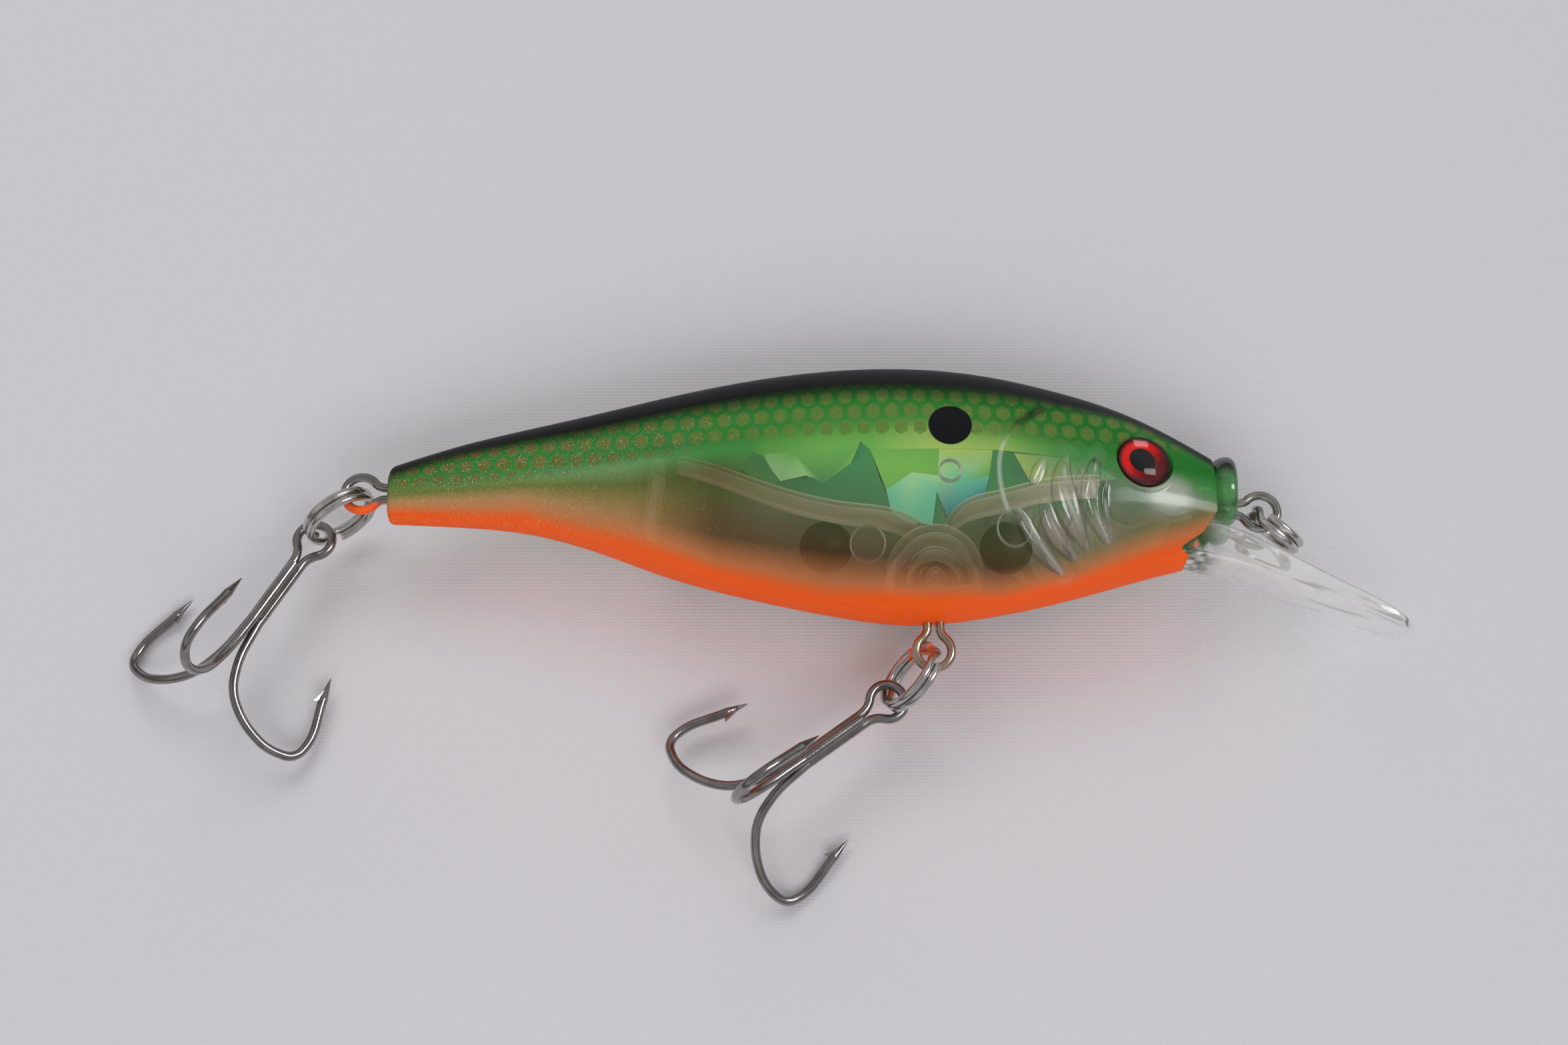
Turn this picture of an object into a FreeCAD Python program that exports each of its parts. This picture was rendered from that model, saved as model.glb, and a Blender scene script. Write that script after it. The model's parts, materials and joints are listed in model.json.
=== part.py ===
import FreeCAD, Part
import math
import os
import Sketcher
from FreeCAD import Placement, Rotation, Vector

# A crankbait lure lying on its far flank, as it would on a table.
# Lengths are millimetres.  Each hull piece is drawn in the lure's own frame:
# X runs from the tail end to the nose, Y from belly to back, and Z across the
# flanks from the seam plane where the two moulded halves meet.

SIZES = [
    ("body_length", 70.0, "tail end face to the front of the mouth"),
    ("body_height", 22.0, "back to belly at the deepest section"),
    ("body_width", 13.0, "flank to flank at the widest section"),
    ("seam_height", 6.5, "floor to the seam plane when the lure lies on its flank"),
    ("origin_from_tail", 30.86, "tail end to the middle of the whole lure"),
    ("origin_below_axis", 11.29, "tail centre line to the middle of the whole lure"),
    ("wall", 1.2, "moulded wall thickness"),
    ("wall_overlap", 0.72, "how far below the flank the ribs run into the wall"),
    ("rib_thick", 0.5, "moulded ribs and bulkhead"),
    ("rib_gap", 0.25, "from a rib's free edge to the seam plane"),
    ("hanger_wire", 0.74, "stainless wire of the hangers and the line tie"),
    ("hanger_eye", 1.45, "centreline radius of each hanger's outer eye"),
    ("anchor_eye", 1.15, "centreline radius of the eye buried in the body"),
    ("hanger_neck", 1.04, "between the centrelines of a hanger's two legs"),
    ("hanger_easing", 1.1, "centreline radius where a hanger's legs open into an eye"),
    ("hanger_opening", 24.0, "degrees left open between the wire's two ends"),
    ("belly_anchor", 6.2, "outer eye to buried eye, belly hanger"),
    ("tail_anchor", 6.4, "outer eye to buried eye, tail hanger"),
    ("tie_anchor", 7.2, "outer eye to buried eye, line tie"),
    ("ring_wire", 0.66, "split ring wire"),
    ("ring_pitch", 0.69, "between the two turns of a split ring"),
    ("ring_step", 34.0, "degrees over which a split ring's wire steps from one turn to the other"),
    ("ring_gap", 5.0, "degrees left open at each end of a split ring's wire"),
    ("hook_ring", 2.9, "centreline radius of the two hook rings"),
    ("tie_ring", 2.3, "centreline radius of the line tie's ring"),
    ("hook_wire", 0.78, "treble hook wire"),
    ("shank_pack", 0.46, "treble axis to the centreline of each of its three wires"),
    ("shank_length", 6.2, "brazed stretch of a treble's shank"),
    ("hook_eye", 1.46, "centreline radius of a treble's eye"),
    ("hook_easing", 2.0, "centreline radius where a treble's wires open into its eye"),
    ("eye_disc", 4.6, "diameter of the printed eye disc"),
    ("eye_disc_thick", 0.25, "eye disc"),
    ("eye_dome_edge", 0.25, "straight edge of the clear dome"),
    ("eye_dome_rise", 0.95, "clear dome above the disc, at its crown"),
    ("eye_seat_depth", 0.55, "eye pocket below the flank at its centre"),
    ("eye_play", 0.05, "between an eye disc's edge and its pocket"),
    ("ball", 4.4, "diameter of a rattle ball"),
    ("foil_thick", 0.2, "prism foil insert"),
    ("lip_width", 6.4, "diving lip"),
    ("lip_tip_radius", 2.9, "rounding of the lip's tip"),
    ("boss_outer", 3.85, "radius of the ring moulded round the belly hanger's post"),
    ("boss_wall", 0.6, "wall of that ring"),
    ("post", 0.72, "radius of the post inside a hanger's buried eye"),
]

# One row for each section: its distance from the tail as a fraction of
# body_length, the back and the belly as fractions of body_height from the
# tail's centre line, and the half thickness as a fraction of body_width.
HULL_SECTIONS = [
    (0.000, 0.104, -0.120, 0.146),
    (0.080, 0.186, -0.130, 0.212),
    (0.160, 0.250, -0.155, 0.269),
    (0.240, 0.311, -0.223, 0.323),
    (0.320, 0.375, -0.318, 0.373),
    (0.420, 0.443, -0.409, 0.427),
    (0.520, 0.485, -0.477, 0.469),
    (0.610, 0.493, -0.512, 0.492),
    (0.700, 0.464, -0.484, 0.500),
    (0.790, 0.396, -0.423, 0.477),
    (0.870, 0.307, -0.352, 0.415),
    (0.930, 0.209, -0.302, 0.331),
    (0.976, 0.122, -0.268, 0.250),
]
CAVITY_SECTIONS = slice(2, 11)

doc = FreeCAD.newDocument("crankbait")
sheet = doc.addObject("Spreadsheet::Sheet", "sizes")
parts = []


def fill_sheet():
    """Write every driving dimension to the sheet, with its alias and meaning."""
    for row, (alias, value, meaning) in enumerate(SIZES, start=1):
        sheet.set("A%d" % row, meaning)
        sheet.set("B%d" % row, str(value))
        sheet.setAlias("B%d" % row, alias)
    doc.recompute()


def size(alias):
    """Read one driving dimension from the sheet."""
    return float(sheet.get(alias))


def lure_point(x, y, z=0.0):
    """A point of the lure's own frame, in the part's frame."""
    return Vector(x - size("origin_from_tail"), y + size("origin_below_axis"), z + size("seam_height"))


def keep(item, label, placement=None):
    """Name a finished sub-part and put it in its place."""
    item.Label = label
    if placement is not None:
        item.Placement = placement
    parts.append(item)
    return item


def add_shape(label, shape, placement):
    """A sub-part whose shape comes straight from Part's functions."""
    item = doc.addObject("Part::Feature", label)
    item.Shape = shape
    return keep(item, label, placement)


# ---------------------------------------------------------------- sketch help

def origin_plane(body, role):
    """One of a body's own origin planes."""
    for feature in body.Origin.OriginFeatures:
        if feature.Role == role:
            return feature
    raise ValueError("no plane " + role)


def add_sketch(body, name, role):
    """A new sketch lying flat on one of the body's origin planes."""
    sketch = body.newObject("Sketcher::SketchObject", name)
    sketch.AttachmentSupport = [(origin_plane(body, role), "")]
    sketch.MapMode = "FlatFace"
    return sketch


def add_polygon(sketch, points):
    """A closed outline of straight lines with shared corners."""
    count = len(points)
    for index, point in enumerate(points):
        after = points[(index + 1) % count]
        sketch.addGeometry(Part.LineSegment(Vector(*point, 0), Vector(*after, 0)), False)
    for index in range(count):
        sketch.addConstraint(Sketcher.Constraint("Coincident", index, 2, (index + 1) % count, 1))


def add_circle(sketch, centre, alias, factor):
    """A circle whose radius is a cell of the sheet times a factor."""
    radius = size(alias) * factor
    index = sketch.addGeometry(Part.Circle(Vector(*centre, 0), Vector(0, 0, 1), radius), False)
    constraint = sketch.addConstraint(Sketcher.Constraint("Radius", index, radius))
    sketch.setExpression("Constraints[%d]" % constraint, "sizes.%s * %g" % (alias, factor))
    return index


# ----------------------------------------------------------------- body halves

def half_section(x, back, belly, half_thickness):
    """Half of an elliptical body section, closed along the seam plane."""
    middle = (back + belly) / 2
    centre = Vector(x, middle, 0)
    top = Vector(x, back, 0)
    bottom = Vector(x, belly, 0)
    if back - middle > half_thickness:
        ellipse = Part.Ellipse(top, Vector(x, middle, half_thickness), centre)
        flank = ellipse.toShape(0, math.pi)
    else:
        flank = Part.Arc(top, Vector(x, middle, half_thickness), bottom).toShape()
    return Part.Wire([flank, Part.makeLine(bottom, top)])


def hull_half(inset, sections):
    """The near half of the hull as a solid, with its flank moved in by inset."""
    length = size("body_length")
    height = size("body_height")
    width = size("body_width")
    wires = []
    for along, back, belly, half in HULL_SECTIONS[sections]:
        wires.append(half_section(along * length, back * height - inset, belly * height + inset,
                                  half * width - inset))
    return Part.makeLoft(wires, True, False)


def rib_between(start, middle, end):
    """A thin curved wall that reaches from the seam plane out past the flank."""
    drop = Vector(0, -size("rib_thick"), 0)
    upper = Part.Arc(start, middle, end).toShape()
    lower = Part.Arc(end + drop, middle + drop, start + drop).toShape()
    outline = Part.Wire([upper, Part.makeLine(end, end + drop), lower, Part.makeLine(start + drop, start)])
    rib = Part.Face(outline).extrude(Vector(0, 0, size("body_width")))
    rib.translate(Vector(0, 0, size("rib_gap")))
    return rib


BELLY_EYE = (44.74, -13.60)
TAIL_EYE = (-2.55, 0.0)
TIE_EYE = (71.95, -1.60)


# The upper edge of each rib, from the boss outwards, and where the bulkhead stands.
REAR_RIB = [(21.4, 2.1), (33.0, -0.3), (44.2, -3.6)]
FRONT_RIB = [(46.0, -3.6), (50.5, -0.6), (61.5, 0.6)]
BULKHEAD_X = 21.4


def inner_walls():
    """Ribs, bulkhead and boss of the near half, before they are trimmed to the cavity."""
    width = size("body_width")
    height = size("body_height")
    boss_centre = Vector(BELLY_EYE[0], BELLY_EYE[1] + size("belly_anchor"), 0)
    ribs = [rib_between(*[Vector(*point, 0) for point in line]) for line in (REAR_RIB, FRONT_RIB)]
    foot = Vector(BULKHEAD_X, -height / 2, size("rib_gap"))
    bulkhead = Part.makeBox(size("rib_thick"), height, width, foot)
    outer = Part.makeCylinder(size("boss_outer"), width, boss_centre)
    inner = Part.makeCylinder(size("boss_outer") - size("boss_wall"), width, boss_centre)
    post = Part.makeCylinder(size("post"), width, boss_centre)
    return ribs + [bulkhead, outer.cut(inner), post]


# The mouth ring's sections as (along, half height, half width), then its bore.
MOUTH_PROFILE = [(66.4, 2.70, 2.35), (67.9, 2.42, 2.15), (68.7, 2.75, 2.55), (69.3, 2.85, 2.65),
                 (69.9, 2.60, 2.40)]
MOUTH_BORE = (1.75, 1.60)
MOUTH_BORE_ENDS = (68.6, 70.2)
MOUTH_MIDDLE = 0.2


def mouth_section(x, half_height, half_width):
    """Half of the mouth ring's oval section, closed along the seam plane."""
    return half_section(x, MOUTH_MIDDLE + half_height, MOUTH_MIDDLE - half_height, half_width)


def mouth_ring():
    """The flared oval ring round the mouth, behind which the hull narrows to a crease."""
    ring = Part.makeLoft([mouth_section(*row) for row in MOUTH_PROFILE], True, False)
    bore = Part.makeLoft([mouth_section(x, *MOUTH_BORE) for x in MOUTH_BORE_ENDS], True, False)
    return ring.cut(bore)


# The chin's front face slopes from CHIN_LOW up to CREASE, where the mouth ring starts.
CHIN_LOW = (64.9, -7.1)
CREASE = (67.9, -2.6)


def front_cut():
    """Everything ahead of the chin's sloping face and of the crease behind the mouth."""
    half = size("body_height") / 2
    beyond = size("body_length") + size("wall")
    outline = [(CHIN_LOW[0], -half), CHIN_LOW, CREASE, (CREASE[0], half), (beyond, half), (beyond, -half),
               (CHIN_LOW[0], -half)]
    face = Part.Face(Part.makePolygon([Vector(*point, 0) for point in outline]))
    return face.extrude(Vector(0, 0, size("body_width")))


def near_half_shell():
    """The near moulded half: shell, ribs, boss and mouth, without its seats."""
    outer = hull_half(0.0, slice(None)).cut(front_cut())
    cavity = hull_half(size("wall"), CAVITY_SECTIONS)
    overlap = hull_half(size("wall_overlap"), CAVITY_SECTIONS)
    shell = outer.cut(cavity)
    for wall in inner_walls():
        shell = shell.fuse(wall.common(overlap))
    shell = shell.fuse(mouth_ring())
    return shell.removeSplitter()


EYE_X = 62.0
EYE_Y = 1.25
PROBE = 0.6


def flank_point(hull, x, y):
    """Where a line across the lure leaves the hull's near flank."""
    line = Part.makeLine(Vector(x, y, 0.5), Vector(x, y, size("body_width")))
    inside = line.common(hull)
    return Vector(x, y, inside.BoundBox.ZMax)


def eye_frame(hull):
    """Centre and outward direction of the near eye on the flank."""
    ahead = flank_point(hull, EYE_X + PROBE, EYE_Y) - flank_point(hull, EYE_X - PROBE, EYE_Y)
    above = flank_point(hull, EYE_X, EYE_Y + PROBE) - flank_point(hull, EYE_X, EYE_Y - PROBE)
    return flank_point(hull, EYE_X, EYE_Y), ahead.cross(above).normalize()


def mirrored(shape):
    """The same shape on the other side of the seam plane."""
    return shape.mirror(Vector(0, 0, 0), Vector(0, 0, 1))


# ------------------------------------------------------------------ wire forms

def hanger_spine(anchor_alias):
    """Centreline of a figure-eight wire: outer eye at the origin, buried eye along +Y."""
    outer = size("hanger_eye")
    buried = size("anchor_eye")
    leg = size("hanger_neck") / 2
    reach = size(anchor_alias)
    easing = size("hanger_easing")
    flare = leg + easing
    outer_y = math.sqrt((outer + easing) ** 2 - flare ** 2)
    buried_y = math.sqrt((buried + easing) ** 2 - flare ** 2)
    outer_turn = math.atan2(outer_y, flare)
    buried_turn = math.atan2(buried_y, flare)
    opening = math.radians(size("hanger_opening"))
    pi = math.pi
    spine = [
        ("arc", (0, reach), buried, -buried_turn, pi / 2),
        ("arc", (flare, reach - buried_y), easing, pi - buried_turn, pi),
        ("line", (leg, reach - buried_y), (leg, outer_y)),
        ("arc", (flare, outer_y), easing, pi, pi + outer_turn),
        ("arc", (0, 0), outer, pi - outer_turn, 2 * pi + outer_turn),
        ("arc", (-flare, outer_y), easing, -outer_turn, 0.0),
        ("line", (-leg, outer_y), (-leg, reach - buried_y)),
        ("arc", (-flare, reach - buried_y), easing, 0.0, buried_turn),
        ("arc", (0, reach), buried, pi / 2 + opening, pi + buried_turn),
    ]
    return spine


def add_spine(sketch, spine):
    """Draw a centreline of arcs and lines."""
    for kind, start, *rest in spine:
        if kind == "line":
            sketch.addGeometry(Part.LineSegment(Vector(*start, 0), Vector(*rest[0], 0)), False)
        else:
            radius, first, last = rest
            circle = Part.Circle(Vector(*start, 0), Vector(0, 0, 1), radius)
            sketch.addGeometry(Part.ArcOfCircle(circle, first, last), False)


def hanger(label, anchor_alias, eye_centre, turn):
    """A wire hanger swept round its figure-eight centreline."""
    body = doc.addObject("PartDesign::Body", label)
    path = add_sketch(body, label + "_path", "XY_Plane")
    add_spine(path, hanger_spine(anchor_alias))
    profile = add_sketch(body, label + "_profile", "YZ_Plane")
    add_circle(profile, (size(anchor_alias) + size("anchor_eye"), 0), "hanger_wire", 0.5)
    doc.recompute()
    pipe = body.newObject("PartDesign::AdditivePipe", label + "_pipe")
    pipe.Profile = profile
    pipe.Spine = (path, [])
    body.Tip = pipe
    return keep(body, label, Placement(lure_point(*eye_centre), Rotation(Vector(0, 0, 1), turn)))


def ring_turn(radius, level, first, last):
    """A flat stretch of a split ring's centreline, between two angles in degrees."""
    angles = [math.radians(angle) for angle in (first, (first + last) / 2, last)]
    points = [Vector(radius * math.cos(angle), radius * math.sin(angle), level) for angle in angles]
    return Part.Arc(*points).toShape()


def ring_step(radius, level, first, last):
    """Where the wire steps from one turn to the other."""
    share = [0.0, 0.25, 0.5, 0.75, 1.0]
    points = []
    for part in share:
        angle = math.radians(first + (last - first) * part)
        rise = level * math.cos(math.pi * part)
        points.append(Vector(radius * math.cos(angle), radius * math.sin(angle), rise))
    curve = Part.BSplineCurve()
    start = Vector(-math.sin(math.radians(first)), math.cos(math.radians(first)), 0)
    end = Vector(-math.sin(math.radians(last)), math.cos(math.radians(last)), 0)
    curve.interpolate(Points=points, InitialTangent=start, FinalTangent=end)
    return curve.toShape()


def split_ring(label, radius_alias, centre, axis, turn):
    """Two flat turns of wire side by side, joined by a step; turn sets where the step lies.

    The wire is made in lengths that meet face to face, so that each is simple enough for a
    collision shape that leaves the ring open.
    """
    radius = size(radius_alias)
    level = size("ring_pitch") / 2
    step = size("ring_step")
    gap = size("ring_gap")
    edges = [ring_turn(radius, level, gap - 180, 0), ring_turn(radius, level, 0, 180 - step),
             ring_step(radius, level, 180 - step, 180),
             ring_turn(radius, -level, 180, 360), ring_turn(radius, -level, 360, 540 - gap - step)]
    coil = Part.makeCompound([sweep_wire([edge], size("ring_wire")) for edge in edges])
    lean = Rotation(Vector(0, 0, 1), Vector(*axis)).multiply(Rotation(Vector(0, 0, 1), turn))
    return add_shape(label, coil, Placement(lure_point(*centre), lean))


# ---------------------------------------------------------------- treble hooks

# Corners of one hook arm as (along the shank towards the eye, out from the
# shank's axis); the wire runs inside them on arcs.
ARM_CORNERS = [(-3.3, 0.80), (-5.9, 1.95), (-7.35, 4.2), (-7.95, 7.0), (-7.15, 9.55), (-4.9, 9.75),
               (-2.2, 8.70)]
POINT_END = (0.1, 8.05)
CORNER_SHARE = 0.46
CONE_START = 0.25
CONE_TIP = 0.04
BARB_ROOT = 0.45
BARB_TIP = (-0.15, 0.85)
BARB_FRONT = 1.7
BARB_HALF_WIDTH = 0.14


def smooth_edges(points):
    """Straight runs through the points, with each corner replaced by a tangent arc."""
    edges = []
    start = points[0]
    for before, corner, after in zip(points, points[1:], points[2:]):
        into = (corner - before)
        out = (after - corner)
        turn = into.getAngle(out)
        back = min(into.Length, out.Length) * CORNER_SHARE
        into.normalize()
        out.normalize()
        first = corner - into * back
        last = corner + out * back
        inward = (out - into).normalize()
        radius = back / math.tan(turn / 2)
        centre_distance = math.sqrt(radius ** 2 + back ** 2)
        middle = corner + inward * (centre_distance - radius)
        edges.append(Part.makeLine(start, first))
        edges.append(Part.Arc(first, middle, last).toShape())
        start = last
    edges.append(Part.makeLine(start, points[-1]))
    return edges


def radial(index):
    """Outward direction of one of a treble's three arms, about the treble's own Z axis."""
    angle = math.radians(120 * index)
    return Vector(math.cos(angle), math.sin(angle), 0)


def arm_point(index, along, out):
    """A point of one arm's plane; the treble's Z axis points from the bends to the eye."""
    return radial(index) * out + Vector(0, 0, along)


def arm_edges(index):
    """One arm's centreline, from the point to where the brazed shank begins."""
    corners = [POINT_END] + ARM_CORNERS[::-1] + [(0.0, size("shank_pack"))]
    points = [arm_point(index, *corner) for corner in corners]
    points[0] = points[1] + (points[0] - points[1]) * CONE_START
    return smooth_edges(points)


def sweep_wire(edges, diameter):
    """A round wire swept along connected edges."""
    spine = Part.Wire(edges)
    first = spine.OrderedEdges[0]
    start = first.valueAt(first.FirstParameter)
    heading = first.tangentAt(first.FirstParameter)
    if first.Orientation == "Reversed":
        start = first.valueAt(first.LastParameter)
        heading = first.tangentAt(first.LastParameter) * -1
    section = Part.Wire(Part.makeCircle(diameter / 2, start, heading))
    return spine.makePipeShell([section], True, False, 2)


def hook_point(index):
    """The ground needle point of one arm, with its barb on the inner side."""
    wire = size("hook_wire")
    base = arm_point(index, *ARM_CORNERS[-1])
    tip = arm_point(index, *POINT_END)
    along = tip - base
    start = base + along * CONE_START
    cone = Part.makeCone(wire / 2, CONE_TIP, (tip - start).Length, start, along)
    inward = radial(index) * -1
    step = along.normalize()
    root = base + step * BARB_ROOT
    barb = [root, base + step * BARB_TIP[0] + inward * BARB_TIP[1], base + step * BARB_FRONT, root]
    side = step.cross(inward).normalize() * BARB_HALF_WIDTH
    fin = Part.Face(Part.makePolygon([corner - side for corner in barb])).extrude(side * 2)
    return cone, fin


def arm_tip(shape, index):
    """Join a point and barb to a swept wire."""
    cone, fin = hook_point(index)
    return shape.fuse(cone).fuse(fin)


def double_hook():
    """One wire: two arms, two shanks side by side, and the eye between them."""
    pack = size("shank_pack")
    eye = size("hook_eye")
    half_gap = pack * math.cos(math.radians(30))
    drop = -pack * 0.5
    easing = size("hook_easing")
    flare = half_gap + easing
    rise = math.sqrt((eye + easing) ** 2 - flare ** 2)
    junction = size("shank_length")
    centre = junction + rise

    def at(across, along):
        return Vector(drop, across, along)

    turn = math.atan2(rise, flare)
    leave = (eye * math.cos(turn), centre - eye * math.sin(turn))
    ease_mid = turn / 2
    ease_out = (flare - easing * math.cos(ease_mid), junction + easing * math.sin(ease_mid))
    edges = arm_edges(1)
    edges.append(Part.makeLine(arm_point(1, 0, pack), at(half_gap, junction)))
    edges.append(Part.Arc(at(half_gap, junction), at(*ease_out), at(*leave)).toShape())
    edges.append(Part.Arc(at(*leave), at(0, centre + eye), at(-leave[0], leave[1])).toShape())
    edges.append(Part.Arc(at(-leave[0], leave[1]), at(-ease_out[0], ease_out[1]),
                          at(-half_gap, junction)).toShape())
    edges.append(Part.makeLine(at(-half_gap, junction), arm_point(2, 0, pack)))
    edges.extend(arm_edges(2))
    shape = sweep_wire(Part.__sortEdges__(edges), size("hook_wire"))
    return arm_tip(arm_tip(shape, 1), 2)


SHORT_SHANK = 0.3


def single_hook():
    """The third arm: a single hook whose shank ends below the eye."""
    edges = arm_edges(0)
    end = arm_point(0, size("shank_length") - SHORT_SHANK, size("shank_pack"))
    edges.append(Part.makeLine(arm_point(0, 0, size("shank_pack")), end))
    return arm_tip(sweep_wire(edges, size("hook_wire")), 0)


BRAZE_LOW = 0.3
BRAZE_SHORT = 0.8
GROOVE_FLOOR = 0.33
BRAZE_FILL = 0.86


def braze():
    """Brazing metal that fills the three grooves between the shanks."""
    wire = size("hook_wire") / 2
    pack = size("shank_pack")
    length = size("shank_length") - BRAZE_SHORT
    wires = [Part.makeCylinder(wire, size("shank_length"), radial(k) * pack) for k in range(3)]
    fills = []
    for k in range(3):
        bisector = radial(k + 0.5)
        left = radial(k) * pack + bisector * wire * BRAZE_FILL
        right = radial(k + 1) * pack + bisector * wire * BRAZE_FILL
        corners = [bisector * GROOVE_FLOOR, left, right, bisector * GROOVE_FLOOR]
        prism = Part.Face(Part.makePolygon(corners)).extrude(Vector(0, 0, length))
        prism.translate(Vector(0, 0, BRAZE_LOW))
        for cylinder in wires:
            prism = prism.cut(cylinder)
        fills.extend(prism.Solids)
    return Part.makeCompound(fills)


def treble(prefix, split, axis, roll):
    """The three pieces of one treble, with its first arm standing up, then rolled in degrees."""
    eyeward = Vector(*axis).normalize()
    upward = (Vector(0, 0, 1) - eyeward * eyeward.z).normalize()
    across = eyeward.cross(upward)
    frame = Placement(FreeCAD.Matrix(upward.x, across.x, eyeward.x, 0, upward.y, across.y, eyeward.y, 0,
                                     upward.z, across.z, eyeward.z, 0, 0, 0, 0, 1))
    frame.Rotation = frame.Rotation.multiply(Rotation(Vector(0, 0, 1), roll))
    frame.Base = lure_point(split[0], split[1], split[2] - size("seam_height"))
    add_shape(prefix + "_double_hook", double_hook(), frame)
    add_shape(prefix + "_single_hook", single_hook(), frame)
    add_shape(prefix + "_braze", braze(), frame)


# --------------------------------------------------------------- smaller parts

# Side profile of the lip: a wedge from its buried tongue to its thin tip.
LIP_OUTLINE = [(62.6, -3.30), (66.4, -3.05), (70.05, -4.05), (74.5, -6.60), (80.0, -9.50), (83.9, -11.75),
               (83.6, -12.55), (79.4, -10.65), (75.05, -9.00), (70.1, -7.15), (65.6, -5.95), (62.6, -5.40)]
LIP_TIP_FROM = 83.0


def diving_lip():
    """The clear diving lip, cast as one wedge with a rounded tip."""
    body = doc.addObject("PartDesign::Body", "diving_lip")
    sketch = add_sketch(body, "lip_profile", "XY_Plane")
    add_polygon(sketch, LIP_OUTLINE)
    doc.recompute()
    pad = body.newObject("PartDesign::Pad", "lip_pad")
    pad.Profile = sketch
    pad.Midplane = True
    pad.setExpression("Length", "sizes.lip_width")
    body.Tip = pad
    doc.recompute()
    tip_edges = []
    for index, edge in enumerate(pad.Shape.Edges, start=1):
        ends = [vertex.Point for vertex in edge.Vertexes]
        across = abs(ends[0].z - ends[1].z) > size("lip_width") / 2
        if min(end.x for end in ends) > LIP_TIP_FROM and not across:
            tip_edges.append("Edge%d" % index)
    fillet = body.newObject("PartDesign::Fillet", "lip_tip")
    fillet.Base = (pad, tip_edges)
    fillet.setExpression("Radius", "sizes.lip_tip_radius")
    body.Tip = fillet
    return keep(body, "diving_lip", Placement(lure_point(0, 0), Rotation()))


FOIL_OUTLINE = [(23.2, 3.6), (23.2, 6.1), (31.0, 8.1), (40.0, 8.9), (48.0, 8.4), (55.0, 6.7), (60.2, 4.6),
                (60.2, 1.2), (54.0, 0.6), (49.0, -0.6), (46.2, -2.9), (44.0, -2.9), (38.0, -1.1), (30.0, 1.3)]


def foil_insert():
    """The prism foil between the halves, above the ribs."""
    body = doc.addObject("PartDesign::Body", "prism_foil_insert")
    sketch = add_sketch(body, "foil_outline", "XY_Plane")
    add_polygon(sketch, FOIL_OUTLINE)
    doc.recompute()
    pad = body.newObject("PartDesign::Pad", "foil_pad")
    pad.Profile = sketch
    pad.Midplane = True
    pad.setExpression("Length", "sizes.foil_thick")
    body.Tip = pad
    return keep(body, "prism_foil_insert", Placement(lure_point(0, 0), Rotation()))


def eye_disc(label, placement):
    """The printed disc at the bottom of an eye pocket."""
    body = doc.addObject("PartDesign::Body", label)
    sketch = add_sketch(body, label + "_outline", "XY_Plane")
    add_circle(sketch, (0, 0), "eye_disc", 0.5)
    doc.recompute()
    pad = body.newObject("PartDesign::Pad", label + "_pad")
    pad.Profile = sketch
    pad.setExpression("Length", "sizes.eye_disc_thick")
    body.Tip = pad
    return keep(body, label, placement)


def eye_dome(label, placement):
    """The clear domed lens that sits on the disc."""
    radius = size("eye_disc") / 2
    foot = size("eye_disc_thick")
    shoulder = foot + size("eye_dome_edge")
    crown = foot + size("eye_dome_rise")
    cap = crown - shoulder
    sphere = (radius ** 2 + cap ** 2) / (2 * cap)
    body = doc.addObject("PartDesign::Body", label)
    sketch = add_sketch(body, label + "_profile", "XZ_Plane")
    circle = Part.Circle(Vector(0, crown - sphere, 0), Vector(0, 0, 1), sphere)
    sketch.addGeometry(Part.LineSegment(Vector(0, foot, 0), Vector(radius, foot, 0)), False)
    sketch.addGeometry(Part.LineSegment(Vector(radius, foot, 0), Vector(radius, shoulder, 0)), False)
    sketch.addGeometry(Part.ArcOfCircle(circle, math.acos(radius / sphere), math.pi / 2), False)
    sketch.addGeometry(Part.LineSegment(Vector(0, crown, 0), Vector(0, foot, 0)), False)
    doc.recompute()
    dome = body.newObject("PartDesign::Revolution", label + "_turn")
    dome.Profile = sketch
    dome.ReferenceAxis = (sketch, ["V_Axis"])
    dome.Angle = 360
    body.Tip = dome
    return keep(body, label, placement)


def rattle_ball(label, centre):
    """A steel ball loose in one of the lower chambers."""
    ball = doc.addObject("Part::Sphere", label)
    ball.setExpression("Radius", "sizes.ball / 2")
    return keep(ball, label, Placement(lure_point(*centre), Rotation()))


# -------------------------------------------------------------------- assembly

def eye_pocket(centre, outward):
    """The round pocket that an eye's disc and dome sit in."""
    radius = size("eye_disc") / 2 + size("eye_play")
    return Part.makeCylinder(radius, size("eye_disc"), centre - outward * size("eye_seat_depth"), outward)


def cut_seats(half, fittings):
    """Take the space of every fitting out of a moulded half."""
    for fitting in fittings:
        half = half.cut(fitting)
    return half


def local_shape(item):
    """A fitting's shape moved back into the lure's own frame."""
    shape = item.Shape.copy()
    shape.translate(lure_point(0, 0) * -1)
    return shape


def turn_over(centre, outward):
    """The far eye's centre and direction, mirrored from the near one."""
    return Vector(centre.x, centre.y, -centre.z), Vector(outward.x, outward.y, -outward.z)


def eye_placement(centre, outward):
    """Where an eye's disc starts: the floor of its pocket, facing outward."""
    floor = centre - outward * size("eye_seat_depth")
    return Placement(lure_point(floor.x, floor.y, floor.z), Rotation(Vector(0, 0, 1), outward))


# Hangers as (label, cell with the distance to the buried eye, outer eye, degrees turned from +Y).
HANGERS = [
    ("belly_hook_hanger", "belly_anchor", BELLY_EYE, 0.0),
    ("tail_hook_hanger", "tail_anchor", TAIL_EYE, -90.0),
    ("line_tie_wire", "tie_anchor", TIE_EYE, 83.0),
]
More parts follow.
